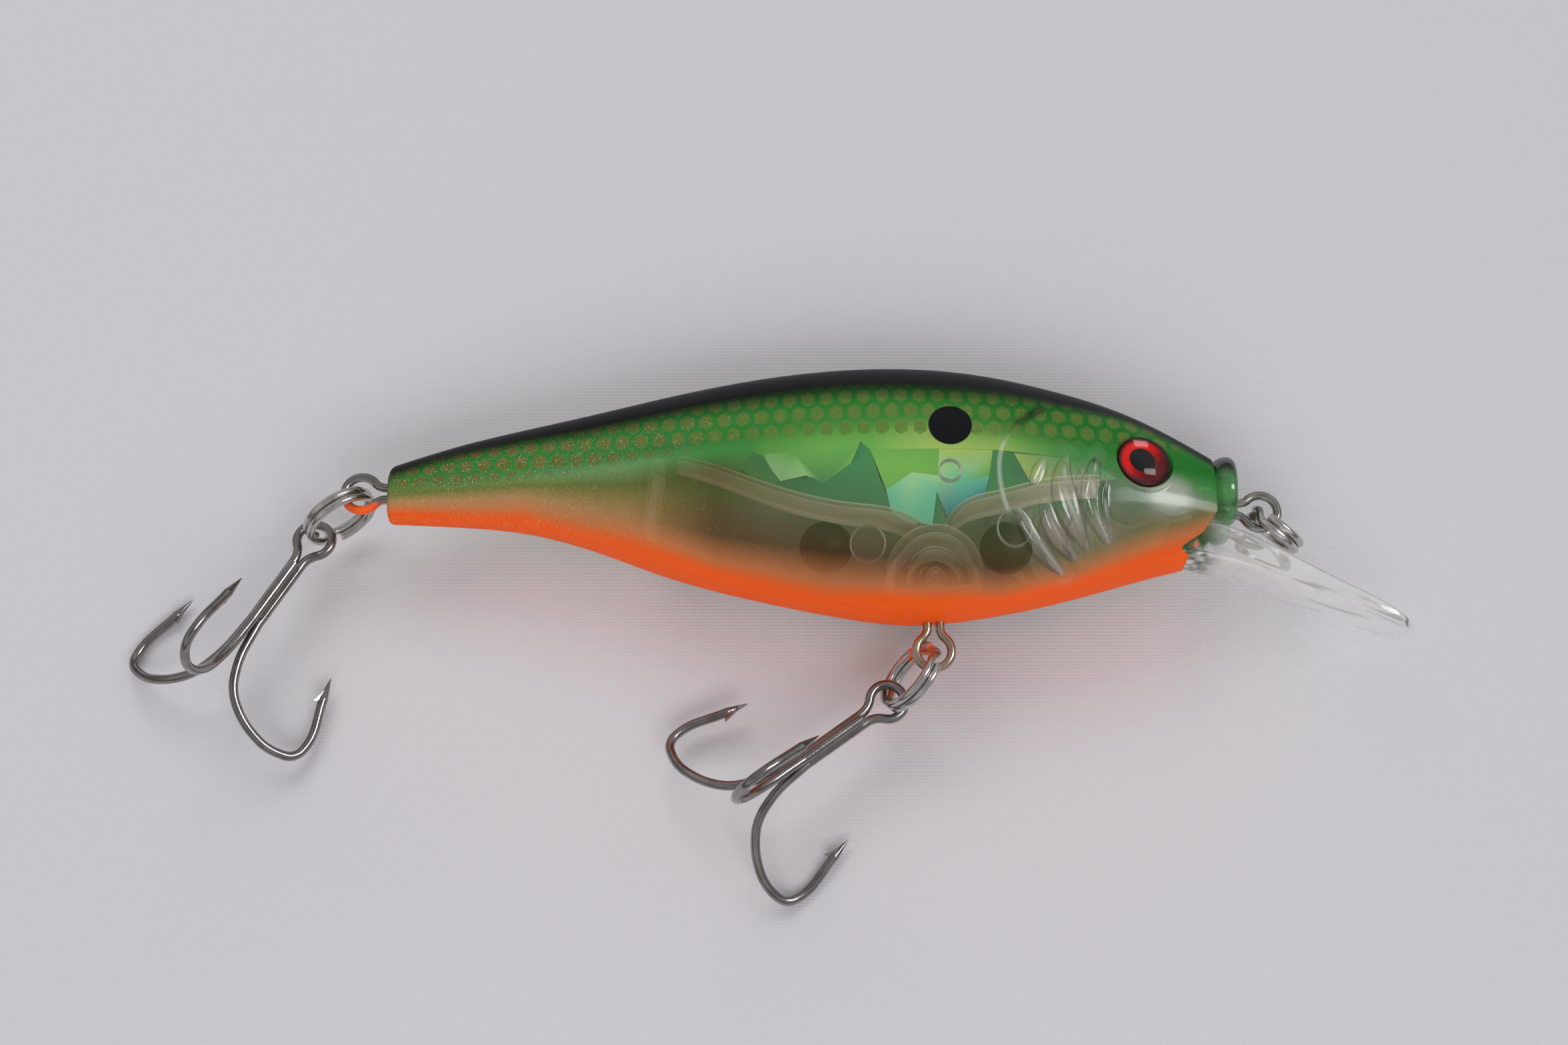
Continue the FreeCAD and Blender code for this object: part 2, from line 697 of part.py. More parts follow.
# Rings as (label, cell with the radius, centre, axis, degrees to the step).
RINGS = [
    ("line_tie_ring", "tie_ring", (73.327, -2.774, -1.142), (0.625, 0.748, 0.223), 24.0),
    ("belly_split_ring", "hook_ring", (42.914, -15.438, -1.15), (-0.748, 0.456, 0.482), 215.0),
    ("tail_split_ring", "hook_ring", (-4.558, -1.386, -1.676), (0.535, -0.839, 0.102), 104.0),
]
# Trebles as (prefix, where the three wires part with its height above the floor, axis, roll).
TREBLES = [
    ("belly_treble", (34.09, -22.46, 5.35), (0.794, 0.599, -0.102), 4.75),
    ("tail_treble", (-11.17, -10.49, 4.835), (0.502, 0.855, -0.130), -2.1),
]
# Rattle balls, each resting on the far flank's inner wall.
BALLS = [
    ("front_rattle_ball", (51.0, -4.10, -2.05)),
    ("rear_rattle_ball", (36.0, -4.10, -1.75)),
]


def build():
    """Make every sub-part in order, the moulded halves last because they hold the rest."""
    fill_sheet()
    held = [hanger(*row) for row in HANGERS]
    held.append(diving_lip())
    foil_insert()
    for row in BALLS:
        rattle_ball(*row)
    for row in RINGS:
        split_ring(*row)
    for row in TREBLES:
        treble(*row)
    hull = hull_half(0.0, slice(None))
    centre, outward = eye_frame(hull)
    far_centre, far_outward = turn_over(centre, outward)
    eye_disc("near_eye_disc", eye_placement(centre, outward))
    eye_disc("far_eye_disc", eye_placement(far_centre, far_outward))
    eye_dome("near_eye_dome", eye_placement(centre, outward))
    eye_dome("far_eye_dome", eye_placement(far_centre, far_outward))
    doc.recompute()
    near = near_half_shell()
    far = mirrored(near)
    fittings = [local_shape(item) for item in held]
    near = cut_seats(near, fittings + [eye_pocket(centre, outward)])
    far = cut_seats(far, fittings + [eye_pocket(far_centre, far_outward)])
    seat = Placement(lure_point(0, 0), Rotation())
    add_shape("near_body_half", near, seat)
    add_shape("far_body_half", far, seat)
    doc.recompute()


def check_and_export():
    """Stop on any failed object, then write each sub-part's STEP file."""
    for item in doc.Objects:
        if "Invalid" in item.State or "Error" in item.State:
            raise RuntimeError("%s failed: %s" % (item.Label, item.State))
    box = FreeCAD.BoundBox()
    os.makedirs("parts", exist_ok=True)
    for item in parts:
        shape = item.Shape
        if shape.isNull() or not shape.isValid():
            raise RuntimeError("%s has no valid shape" % item.Label)
        shape.exportStep("parts/%s.step" % item.Label)
        box.add(shape.BoundBox)
        print("%-26s solids %d volume %8.3f mm3" % (item.Label, len(shape.Solids), shape.Volume))
    print("box", box)


build()
check_and_export()
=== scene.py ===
import json
import math

import bpy
import numpy as np
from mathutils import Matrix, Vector


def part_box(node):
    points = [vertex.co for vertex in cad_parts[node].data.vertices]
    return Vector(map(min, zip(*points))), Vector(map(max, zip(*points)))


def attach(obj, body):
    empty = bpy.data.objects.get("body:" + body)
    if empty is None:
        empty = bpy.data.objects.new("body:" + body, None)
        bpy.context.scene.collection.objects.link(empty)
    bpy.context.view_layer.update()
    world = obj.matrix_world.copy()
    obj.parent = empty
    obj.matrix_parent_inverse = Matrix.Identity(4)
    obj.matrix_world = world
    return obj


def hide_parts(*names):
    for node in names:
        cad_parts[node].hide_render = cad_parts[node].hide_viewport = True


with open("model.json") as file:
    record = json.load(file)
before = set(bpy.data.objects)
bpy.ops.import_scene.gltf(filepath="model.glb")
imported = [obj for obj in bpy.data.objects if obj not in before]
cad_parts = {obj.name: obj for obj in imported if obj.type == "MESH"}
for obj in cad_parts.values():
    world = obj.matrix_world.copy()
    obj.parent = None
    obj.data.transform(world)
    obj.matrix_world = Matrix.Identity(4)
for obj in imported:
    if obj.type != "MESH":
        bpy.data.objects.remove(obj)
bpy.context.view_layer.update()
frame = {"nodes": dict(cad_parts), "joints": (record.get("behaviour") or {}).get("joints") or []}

# A crankbait lying on its far flank.  The lure's own frame, used for the lists
# of places below, is in millimetres: X from the tail end to the nose, Y from
# belly to back and Z out of the near flank, with the seam at Z = 0.

rng = np.random.default_rng(11)
joints = {joint["name"]: joint for joint in frame["joints"]}
half_low, half_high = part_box("near_body_half")
HALF_LENGTH = 69.9
MM = (half_high.x - half_low.x) / HALF_LENGTH
TAIL = Vector((half_low.x, joints["tail_ring_swing"]["pos_m"][1], half_low.z))
SEAM_HEIGHT = half_low.z / MM


def lure(x, y, z=0.0):
    """A point of the lure's own frame, in the row's frame."""
    return TAIL + Vector((x, y, z)) * MM


def in_lure(point):
    """A point of the row's frame, in the lure's own frame."""
    return (Vector(point) - TAIL) / MM


def rgb(red, green, blue):
    """A colour given from 0 to 255 as a screen shows it, in linear light."""
    shares = np.array([red, green, blue]) / 255
    return np.where(shares <= 0.04045, shares / 12.92, ((shares + 0.055) / 1.055) ** 2.4)


def smooth(low, high, value):
    """0 below low, 1 above high, and an even curve between."""
    share = np.clip((value - low) / (high - low), 0, 1)
    return share * share * (3 - 2 * share)


# ---- node trees

class Graph:
    """The node tree of a material, or of another owner, built a node at a time."""

    def __init__(self, name, owner=None):
        self.owner = owner or bpy.data.materials.new(name)
        self.owner.use_nodes = True
        self.tree = self.owner.node_tree
        self.tree.nodes.clear()

    def add(self, kind, settings=None, **inputs):
        """Add a shader node, set its properties, and fill its inputs with values or other nodes' sockets."""
        node = self.tree.nodes.new("ShaderNode" + kind)
        for key, value in (settings or {}).items():
            setattr(node, key, value)
        for key, value in inputs.items():
            key = int(key[1:]) if key[0] == "i" and key[1:].isdigit() else key.replace("_", " ")
            self.feed(node.inputs[key], value)
        return node

    def feed(self, socket, value):
        """Link a socket, or set its value."""
        if isinstance(value, bpy.types.NodeSocket):
            self.tree.links.new(value, socket)
        elif isinstance(value, (int, float)):
            socket.default_value = value
        else:
            value = list(value)
            opaque = len(socket.default_value) == 4 and len(value) == 3
            socket.default_value = value + [1.0] if opaque else value

    def math(self, operation, first, second=0.0, third=0.0, clamp=False):
        """The result of a sum on numbers or sockets."""
        settings = {"operation": operation, "use_clamp": clamp}
        return self.add("Math", settings, i0=first, i1=second, i2=third).outputs[0]

    def times(self, first, second):
        """One number multiplied by another."""
        return self.math("MULTIPLY", first, second)

    def plus(self, first, second, clamp=False):
        """One number added to another."""
        return self.math("ADD", first, second, clamp=clamp)

    def minus(self, first, second):
        """The first number less the second."""
        return self.math("SUBTRACT", first, second)

    def radius(self, first, second):
        """How far a point of a plane is from its origin."""
        return self.math("SQRT", self.plus(self.times(first, first), self.times(second, second)))

    def split(self, vector):
        """A vector's three numbers."""
        return tuple(self.add("SeparateXYZ", i0=vector).outputs)

    def mix(self, share, first, second, mode="MIX"):
        """Two colours mixed."""
        node = self.add("Mix", {"data_type": "RGBA", "blend_type": mode})
        self.feed(node.inputs[0], share)
        self.feed(node.inputs[6], first)
        self.feed(node.inputs[7], second)
        return node.outputs[2]

    def span(self, value, low, high, to_low=0.0, to_high=1.0):
        """A number eased from one range to another."""
        node = self.add("MapRange", {"interpolation_type": "SMOOTHSTEP"})
        for index, item in enumerate((value, low, high, to_low, to_high)):
            self.feed(node.inputs[index], item)
        return node.outputs[0]

    def noise(self, scale, detail=2.0, roughness=0.5, where=None):
        """Noise at a scale given in waves per metre."""
        node = self.add("TexNoise", Scale=scale, Detail=detail, Roughness=roughness)
        self.feed(node.inputs["Vector"], where if where is not None else self.place())
        return node.outputs["Fac"]

    def place(self):
        """Where the surface is, in the row's frame."""
        return self.add("TexCoord").outputs["Object"]

    def field(self, name, part="Fac"):
        """A value stored on the mesh."""
        return self.add("Attribute", {"attribute_name": name}).outputs[part]

    def bump(self, height, depth, strength=1.0):
        """A surface's fine relief, with its depth in metres."""
        return self.add("Bump", Height=height, Distance=depth, Strength=strength).outputs[0]

    def principled(self, **inputs):
        """A plain surface."""
        return self.add("BsdfPrincipled", **inputs).outputs[0]

    def clear(self, colour):
        """A surface that lets the light through with a tint."""
        return self.add("BsdfTransparent", Color=colour).outputs[0]

    def finish(self, shader, output="OutputMaterial"):
        """Send a shader to the surface."""
        self.add(output, Surface=shader)
        return self.owner

    def blend(self, share, first, second):
        """Two shaders mixed."""
        return self.add("MixShader", i0=share, i1=first, i2=second).outputs[0]


# ---- meshes

def placed(name, data):
    """A new object of the scene."""
    piece = bpy.data.objects.new(name, data)
    bpy.context.scene.collection.objects.link(piece)
    return piece


def new_piece(name, points, faces, material, replaced=(), shade=True, body="lure_body"):
    """A mesh in the lure's millimetres, put in place and made to ride on a body."""
    mesh = bpy.data.meshes.new(name)
    places = np.asarray(points, float) * MM + np.array(TAIL)
    mesh.from_pydata(places.tolist(), [], [list(face) for face in faces])
    mesh.validate()
    mesh.polygons.foreach_set("use_smooth", [shade] * len(mesh.polygons))
    mesh.materials.append(material)
    piece = placed(name, mesh)
    if replaced:
        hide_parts(*replaced)
    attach(piece, body)
    return piece


VALUE_PARTS = {"FLOAT": "value", "FLOAT_VECTOR": "vector", "FLOAT_COLOR": "color"}


def store(mesh, name, kind, values):
    """Keep a number, a vector or an opaque colour on each of a mesh's vertices."""
    values = np.asarray(values, float)
    if kind == "FLOAT_COLOR":
        values = np.concatenate([values, np.ones((len(values), 1))], axis=1)
    mesh.attributes.new(name, kind, "POINT").data.foreach_set(VALUE_PARTS[kind], values.ravel())


def grid_faces(rows, columns, start=0, closed=False, flip=False):
    """Quads between the rows of a grid of points."""
    faces = []
    last = columns if closed else columns - 1
    for row in range(rows - 1):
        for column in range(last):
            after = (column + 1) % columns
            low = start + row * columns
            high = low + columns
            face = (low + column, low + after, high + after, high + column)
            faces.append(face[::-1] if flip else face)
    return faces


def spline(knots, values):
    """A natural cubic curve through values at the knots, as a function."""
    knots = np.asarray(knots, float)
    values = np.asarray(values, float)
    step = np.diff(knots)
    slope = np.diff(values) / step
    count = len(knots)
    matrix = np.eye(count)
    right = np.zeros(count)
    for k in range(1, count - 1):
        matrix[k, k - 1:k + 2] = step[k - 1], 2 * (step[k - 1] + step[k]), step[k]
        right[k] = 6 * (slope[k] - slope[k - 1])
    bend = np.linalg.solve(matrix, right)

    def at(x):
        x = np.asarray(x, float)
        k = np.clip(np.searchsorted(knots, x) - 1, 0, count - 2)
        left = x - knots[k]
        ahead = knots[k + 1] - x
        curve = (bend[k] * ahead ** 3 + bend[k + 1] * left ** 3) / (6 * step[k])
        line = (values[k] / step[k] - bend[k] * step[k] / 6) * ahead
        return curve + line + (values[k + 1] / step[k] - bend[k + 1] * step[k] / 6) * left

    return at


def polyline_distance(x, y, points):
    """Signed distance to a polyline, and how far along it the nearest point lies (0 to 1)."""
    best = np.full(np.shape(x), np.inf)
    side = np.ones(np.shape(x))
    along = np.zeros(np.shape(x))
    points = np.asarray(points, float)
    lengths = np.linalg.norm(np.diff(points, axis=0), axis=1)
    total = lengths.sum()
    passed = 0.0
    for start, end, length in zip(points, points[1:], lengths):
        dx, dy = (end - start) / length
        raw = (x - start[0]) * dx + (y - start[1]) * dy
        reach = np.clip(raw, 0, length)
        away = np.hypot(x - start[0] - reach * dx, y - start[1] - reach * dy)
        nearer = away < best
        best = np.where(nearer, away, best)
        side = np.where(nearer, np.sign((x - start[0]) * dy - (y - start[1]) * dx), side)
        along = np.where(nearer, (passed + reach) / total, along)
        passed += length
    return best * side, along


def full_turn(count):
    """The angles of count steps round a circle."""
    return np.linspace(0, 2 * math.pi, count, endpoint=False)


def rounded(points, count):
    """A smooth curve of count points through a few chosen ones."""
    points = np.asarray(points, float)
    lengths = np.concatenate([[0], np.cumsum(np.linalg.norm(np.diff(points, axis=0), axis=1))])
    share = np.linspace(0, lengths[-1], count)
    return np.stack([spline(lengths, points[:, k])(share) for k in range(points.shape[1])], axis=1)


def normals(heading):
    """The directions at right angles to a line of the side view, from its headings."""
    heading = heading / np.linalg.norm(heading, axis=1)[:, None]
    return np.stack([-heading[:, 1], heading[:, 0]], axis=1)


# ---- hull shape

# Along, back, belly and half thickness of the hull's sections.
SECTIONS = np.array([
    (0.0, 2.29, -2.64, 1.90), (5.6, 4.09, -2.86, 2.76), (11.2, 5.50, -3.41, 3.50),
    (16.8, 6.84, -4.91, 4.20), (22.4, 8.25, -7.00, 4.85), (29.4, 9.75, -9.00, 5.55),
    (36.4, 10.67, -10.49, 6.10), (42.7, 10.85, -11.26, 6.40), (49.0, 10.21, -10.65, 6.50),
    (55.3, 8.71, -9.31, 6.20), (60.9, 6.75, -7.74, 5.40), (65.1, 4.60, -6.64, 4.30),
    (68.32, 2.68, -5.90, 3.25),
])
back_at = spline(SECTIONS[:, 0], SECTIONS[:, 1])
belly_at = spline(SECTIONS[:, 0], SECTIONS[:, 2])
half_at = spline(SECTIONS[:, 0], SECTIONS[:, 3])
# Where the nose ends, and how it slopes back below a height.
CREASE_X = 67.9
CHIN_TOP = -2.6
CHIN_SLOPE = 3.0 / 4.5
# Where the tail starts, and the radius of its edge.
TAIL_START = -0.3
TAIL_ROUND = 0.6


def middle_and_reach(x):
    """The height of the hull's middle, and half the hull's height."""
    return (back_at(x) + belly_at(x)) / 2, (back_at(x) - belly_at(x)) / 2


def flank(x, y):
    """How far the near flank stands out from the seam at a point of the side view."""
    middle, reach = middle_and_reach(x)
    share = np.clip(1 - ((y - middle) / reach) ** 2, 0, 1)
    return half_at(x) * np.sqrt(share)


EYE = in_lure((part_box("near_eye_disc")[0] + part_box("near_eye_disc")[1]) / 2)


def eye_direction():
    """Which way the near flank faces at the eye."""
    probe = 0.6
    ahead = Vector((2 * probe, 0, float(flank(EYE.x + probe, EYE.y) - flank(EYE.x - probe, EYE.y))))
    above = Vector((0, 2 * probe, float(flank(EYE.x, EYE.y + probe) - flank(EYE.x, EYE.y - probe))))
    return ahead.cross(above).normalized()


# Each half's name and which way it faces.
SIDES = (("near", 1), ("far", -1))
EYE_OUT = eye_direction()
EYE_RADIUS = 2.3

# The gill cover's edge, how far it stands out and how far back from it that fades.
GILL_EDGE = rounded([(54.6, 6.3), (52.4, 4.7), (50.7, 2.9), (49.95, 0.6),
                     (50.05, -1.7), (50.8, -4.0), (52.4, -6.0), (54.7, -7.8)], 24)
GILL_RISE = 0.26
GILL_FADE = 2.2

# The clear crescents on the gill cover as (points, half width, height).
CRESCENTS = [
    ([(53.7, 1.0), (53.1, -0.4), (52.5, -1.7)], 0.52, 0.26),
    ([(55.6, 1.3), (55.1, 0.0), (55.1, -2.0), (55.9, -4.4), (57.2, -6.5)], 0.92, 0.46),
    ([(56.9, 0.7), (56.6, -0.9), (56.9, -3.4)], 0.42, 0.26),
    ([(58.0, 1.4), (57.4, -0.9), (57.4, -2.8), (58.0, -4.5), (59.0, -6.0)], 0.78, 0.44),
    ([(58.8, -0.2), (58.4, -2.0), (58.5, -3.6), (59.1, -5.7)], 0.44, 0.30),
    ([(51.2, -3.2), (52.5, -5.6), (54.0, -7.2), (55.3, -8.1)], 0.64, 0.40),
    ([(53.4, -2.4), (54.0, -4.5), (55.1, -6.1), (56.3, -7.2)], 0.76, 0.44),
]


def crescents(x, y):
    """Each crescent's distance, place along, half width there, greatest half width and height."""
    for points, width, rise in CRESCENTS:
        away, along = polyline_distance(x, y, rounded(points, 14))
        local = width * np.sin(np.pi * np.clip(along, 0.02, 0.98)) ** 0.7
        yield away, along, local, width, rise


def relief(x, y):
    """How far the moulded gill marks stand out from the plain flank."""
    edge, along = polyline_distance(x, y, GILL_EDGE)
    plate = smooth(-0.12, 0.16, -edge) * np.exp(-np.abs(edge) / GILL_FADE)
    height = GILL_RISE * plate * smooth(0.0, 0.15, along) * smooth(1.0, 0.85, along)
    for away, along, local, _, rise in crescents(x, y):
        share = away / np.maximum(local, 0.02)
        scoop = smooth(-1.05, 0.55, share) * smooth(1.05, 0.62, share)
        height = height + rise * scoop * smooth(0.0, 0.2, along) * smooth(1.0, 0.8, along)
    return height


# ---- paint

BLACK = rgb(13, 14, 16)
GREEN = rgb(38, 128, 46)
LEAF = rgb(62, 158, 74)
MINT = rgb(118, 172, 112)
MOSS = rgb(112, 124, 62)
OLIVE = rgb(92, 92, 44)
BROWN = rgb(104, 78, 42)
TAN = rgb(184, 140, 90)
PEACH = rgb(210, 126, 74)
ORANGE = rgb(255, 96, 24)
CLEAR = rgb(206, 212, 198)

# The sprayed paint at each distance from the tail, from back to belly:
# (distance, colours, their heights, how much each covers).
PAINT = [
    (0.0, (GREEN, GREEN, MOSS, MOSS, TAN, PEACH, ORANGE),
     (1.9, 0.9, 0.0, -0.8, -1.35, -1.7, -2.1), (1.0, 1.0, 1.0, 0.97, 0.95, 0.97, 1.0)),
    (11.0, (GREEN, LEAF, MINT, MOSS, TAN, PEACH, ORANGE),
     (4.0, 1.5, 0.6, -0.4, -1.3, -2.1, -2.8), (1.0, 1.0, 0.95, 0.90, 0.92, 0.97, 1.0)),
    (20.0, (GREEN, LEAF, MINT, MOSS, TAN, PEACH, ORANGE),
     (6.0, 2.8, 1.2, -0.8, -3.1, -4.3, -5.3), (1.0, 0.98, 0.80, 0.66, 0.70, 0.88, 1.0)),
    (27.0, (GREEN, LEAF, LEAF, OLIVE, BROWN, PEACH, ORANGE),
     (7.0, 4.0, 2.0, 0.3, -5.0, -6.8, -7.7), (1.0, 0.92, 0.60, 0.42, 0.58, 0.78, 1.0)),
    (36.0, (GREEN, LEAF, LEAF, MINT, BROWN, PEACH, ORANGE),
     (8.0, 5.0, 3.2, 0.6, -6.6, -8.7, -9.8), (1.0, 0.80, 0.26, 0.06, 0.42, 0.72, 1.0)),
    (44.0, (GREEN, LEAF, LEAF, MINT, BROWN, PEACH, ORANGE),
     (8.0, 5.0, 3.4, 0.2, -7.4, -9.3, -10.2), (1.0, 0.76, 0.24, 0.05, 0.40, 0.70, 1.0)),
    (50.0, (GREEN, GREEN, LEAF, MINT, BROWN, PEACH, ORANGE),
     (7.4, 4.4, 2.4, 0.0, -7.9, -9.2, -9.9), (1.0, 0.80, 0.30, 0.06, 0.42, 0.72, 1.0)),
    (56.0, (GREEN, GREEN, LEAF, CLEAR, MOSS, PEACH, ORANGE),
     (6.0, 2.8, 0.8, -1.2, -6.6, -7.9, -8.6), (1.0, 0.86, 0.46, 0.14, 0.42, 0.78, 1.0)),
    (62.0, (GREEN, GREEN, MINT, CLEAR, MOSS, PEACH, ORANGE),
     (4.4, 0.6, -0.8, -1.8, -4.3, -5.7, -6.5), (1.0, 0.90, 0.50, 0.16, 0.42, 0.84, 1.0)),
    (68.0, (GREEN, GREEN, LEAF, MINT, TAN, PEACH, ORANGE),
     (2.6, 0.6, -0.8, -1.8, -2.8, -3.6, -4.8), (1.0, 0.85, 0.62, 0.40, 0.50, 0.80, 1.0)),
]

# The printed scales: one row's line, the rows' spacing, and a scale's length and shift.
ROW_LINE = spline([0, 4, 11, 15, 23, 31, 37, 43, 49, 56, 62, 68],
                  [2.1, 2.4, 2.85, 2.95, 3.05, 3.38, 3.63, 3.74, 3.55, 3.38, 3.0, 2.4])
ROW_PITCH_X = [0, 4, 11, 16, 24, 43, 56, 68]
ROW_PITCH_Y = [0.95, 1.05, 1.35, 1.46, 1.48, 1.6, 1.5, 1.45]
SCALE_PITCH = 1.52
SCALE_SHIFT = 0.322
# The height at which the scales fade out towards the belly.
FADE_X = [0, 5, 10, 17, 22, 28, 36, 43, 50, 56, 62, 68]
FADE_Y = [-0.2, -0.1, 0.2, 0.9, 1.7, 2.5, 2.9, 2.9, 2.7, 2.4, 2.5, 2.9]
# How far below the back the black spray is dense, and where it ends.
SPRAY_X = [0, 5, 11, 16, 30, 46, 55, 61, 68]
SPRAY_DENSE = [0.7, 0.9, 1.4, 1.8, 2.2, 2.3, 2.0, 1.2, 0.9]
SPRAY_END = [2.2, 2.6, 3.1, 3.8, 4.8, 5.0, 3.8, 2.4, 1.9]
# How dark the painted shade in the groove at the upper end of the gill cover's edge is.
PAINTED_GROOVE_SHADE = 0.7


def sprayed(x, y):
    """The colour and cover that the paint's stops give at points of the side view."""
    columns = [row[0] for row in PAINT]
    levels, shades, covers = [], [], []
    for k in range(len(PAINT[0][1])):
        levels.append(np.interp(x, columns, [heights[k] for _, _, heights, _ in PAINT]))
        covers.append(np.interp(x, columns, [cover[k] for _, _, _, cover in PAINT]))
        parts = [np.interp(x, columns, [colours[k][c] for _, colours, _, _ in PAINT]) for c in range(3)]
        shades.append(np.stack(parts, axis=-1))
    colour = shades[0]
    cover = covers[0]
    for k in range(1, len(levels)):
        share = np.clip((levels[k - 1] - y) / (levels[k - 1] - levels[k]), 0, 1)
        colour = colour * (1 - share[..., None]) + shades[k] * share[..., None]
        cover = cover * (1 - share) + covers[k] * share
    return colour, cover


def paint_fields(x, y):
    """Colour, cover, black spray and scale strength at points of the side view; the colour carries the
    painted highlights, shade and reflection of the gill marks and the nose, and the spray also carries the
    painted shade in the gill edge's upper groove.
    """
    colour, cover = sprayed(x, y)
    depth = back_at(x) - y
    spray = 1 - smooth(np.interp(x, SPRAY_X, SPRAY_DENSE), np.interp(x, SPRAY_X, SPRAY_END), depth)
    edge, along = polyline_distance(x, y, GILL_EDGE)
    # Painted shade in the groove at the upper end of the gill cover's edge, added to the black spray.
    groove_shade = smooth(0.7, 0.1, np.abs(edge)) * smooth(0, 0.08, along) * smooth(3.0, 4.6, y)
    spray = np.maximum(spray, PAINTED_GROOVE_SHADE * groove_shade)
    fade = np.interp(x, FADE_X, FADE_Y)
    scales = smooth(fade - 0.7, fade + 0.7, y)
    for mask, shade, share, opacity in thin_paint_and_painted_light(x, y):
        colour = colour + (shade - colour) * (mask * share)[..., None]
        cover = cover + (opacity - cover) * mask
    return colour, cover, spray, scales


# Painted shade at the gill marks' edges, the painted pearly reflection on the nose, and the white of the gill
# marks' painted highlights.
PAINTED_GILL_SHADE = rgb(52, 58, 34)
PAINTED_NOSE_REFLECTION = rgb(204, 210, 194)
PAINTED_HIGHLIGHT = rgb(206, 212, 200)
# The nose's patch of painted pearly reflection as (middle, reach), and how much the gloss coat glints there.
NOSE_PATCH = ((64.0, -1.75), (2.5, 2.0))
NOSE_GLINT = 0.35


def nose_patch(x, y):
    """1 in the middle of the nose's patch, and less and less around it."""
    (middle_x, middle_y), (reach_x, reach_y) = NOSE_PATCH
    return np.exp(-((x - middle_x) / reach_x) ** 2 - ((y - middle_y) / reach_y) ** 2)


def thin_paint_and_painted_light(x, y):
    """Where the paint is thin, the painted highlights and shade of the gill marks, and the painted pearly
    reflection on the nose, as (mask, colour, share, cover).
    """
    for away, along, local, _, _ in crescents(x, y):
        ends = smooth(0, 0.08, along) * smooth(1, 0.92, along)
        # The crescent's middle: thin paint, with a painted whitish reflection.
        core = smooth(0.95, 0.6, np.abs(away) / local) * ends
        yield core, PAINTED_HIGHLIGHT, 0.5, 0.05
        # Painted shade along the crescent's edge.
        outline = smooth(0.25, 0.0, np.abs(np.abs(away) / local - 1.08)) * ends
        yield outline, PAINTED_GILL_SHADE, 0.8, 0.5
        # A painted highlight streak along one side of the crescent, brighter and fainter along its length.
        highlight_streak = smooth(0.44, 0.12, np.abs(away / local + 0.24)) * ends
        lit = 0.2 + 0.8 * np.sin(2.2 * x + 1.5 * y) ** 2
        yield highlight_streak * lit, PAINTED_HIGHLIGHT, 1.0, 0.72
    edge, along = polyline_distance(x, y, GILL_EDGE)
    # The gill cover's edge: a painted highlight along its middle and painted shade along its lower end.
    line = smooth(0.26, 0.08, np.abs(edge)) * smooth(0, 0.1, along) * smooth(1, 0.9, along)
    yield line * smooth(3.6, 2.2, y) * smooth(-4.4, -3.2, y), PAINTED_HIGHLIGHT, 0.9, 0.6
    yield line * smooth(-3.2, -4.4, y), PAINTED_GILL_SHADE, 0.6, 0.6
    # Painted pearly reflection on the nose.
    yield smooth(0.25, 0.9, nose_patch(x, y)), PAINTED_NOSE_REFLECTION, 0.9, 0.66


# ---- the skin

ROWS = 560
COLUMNS = 190
# How far the skins stop from the seam, and how far out the far one may reach.
SEAM_GAP = 0.012
FAR_LIMIT = 6.5
# The groove along the seam.
GROOVE_DEPTH = 0.05
GROOVE_WIDTH = 0.10
# The pocket round an eye and its raised rim.
POCKET_DEPTH = 1.2
RIM_HEIGHT = 0.09
RIM_OFFSET = 0.34
RIM_WIDTH = 0.14


def skin_grid():
    """Points of the near flank's plain surface, with the up and outward parts of its facing."""
    angle = np.linspace(0, math.pi, COLUMNS)
    end = np.full(COLUMNS, CREASE_X)
    for _ in range(8):
        middle, reach = middle_and_reach(end)
        low = middle + reach * np.cos(angle)
        end = CREASE_X - np.maximum(CHIN_TOP - low, 0) * CHIN_SLOPE
    share = np.linspace(0, 1, ROWS)
    x = TAIL_START + share[:, None] * (end[None, :] - TAIL_START)
    ahead = np.maximum(TAIL_START + TAIL_ROUND - x, 0)
    inset = TAIL_ROUND - np.sqrt(np.maximum(TAIL_ROUND ** 2 - ahead ** 2, 0))
    middle, reach = middle_and_reach(x)
    reach = reach - inset
    half = half_at(x) - inset
    y = middle + reach * np.cos(angle)
    z = half * np.sin(angle)
    out_y = np.cos(angle) / reach
    out_z = np.sin(angle) / half
    size = np.hypot(out_y, out_z)
    return x, y, z, out_y / size, out_z / size


def eye_seat(x, y, z):
    """The pocket round an eye, with a fine raised rim."""
    gap = np.stack([x - EYE.x, y - EYE.y, z - EYE.z], axis=-1)
    out = np.array(EYE_OUT)
    across = gap - (gap @ out)[..., None] * out
    radius = np.linalg.norm(across, axis=-1)
    pocket = -POCKET_DEPTH * smooth(EYE_RADIUS + 0.16, EYE_RADIUS - 0.02, radius)
    rim = RIM_HEIGHT * np.exp(-((radius - EYE_RADIUS - RIM_OFFSET) / RIM_WIDTH) ** 2)
    return pocket + rim


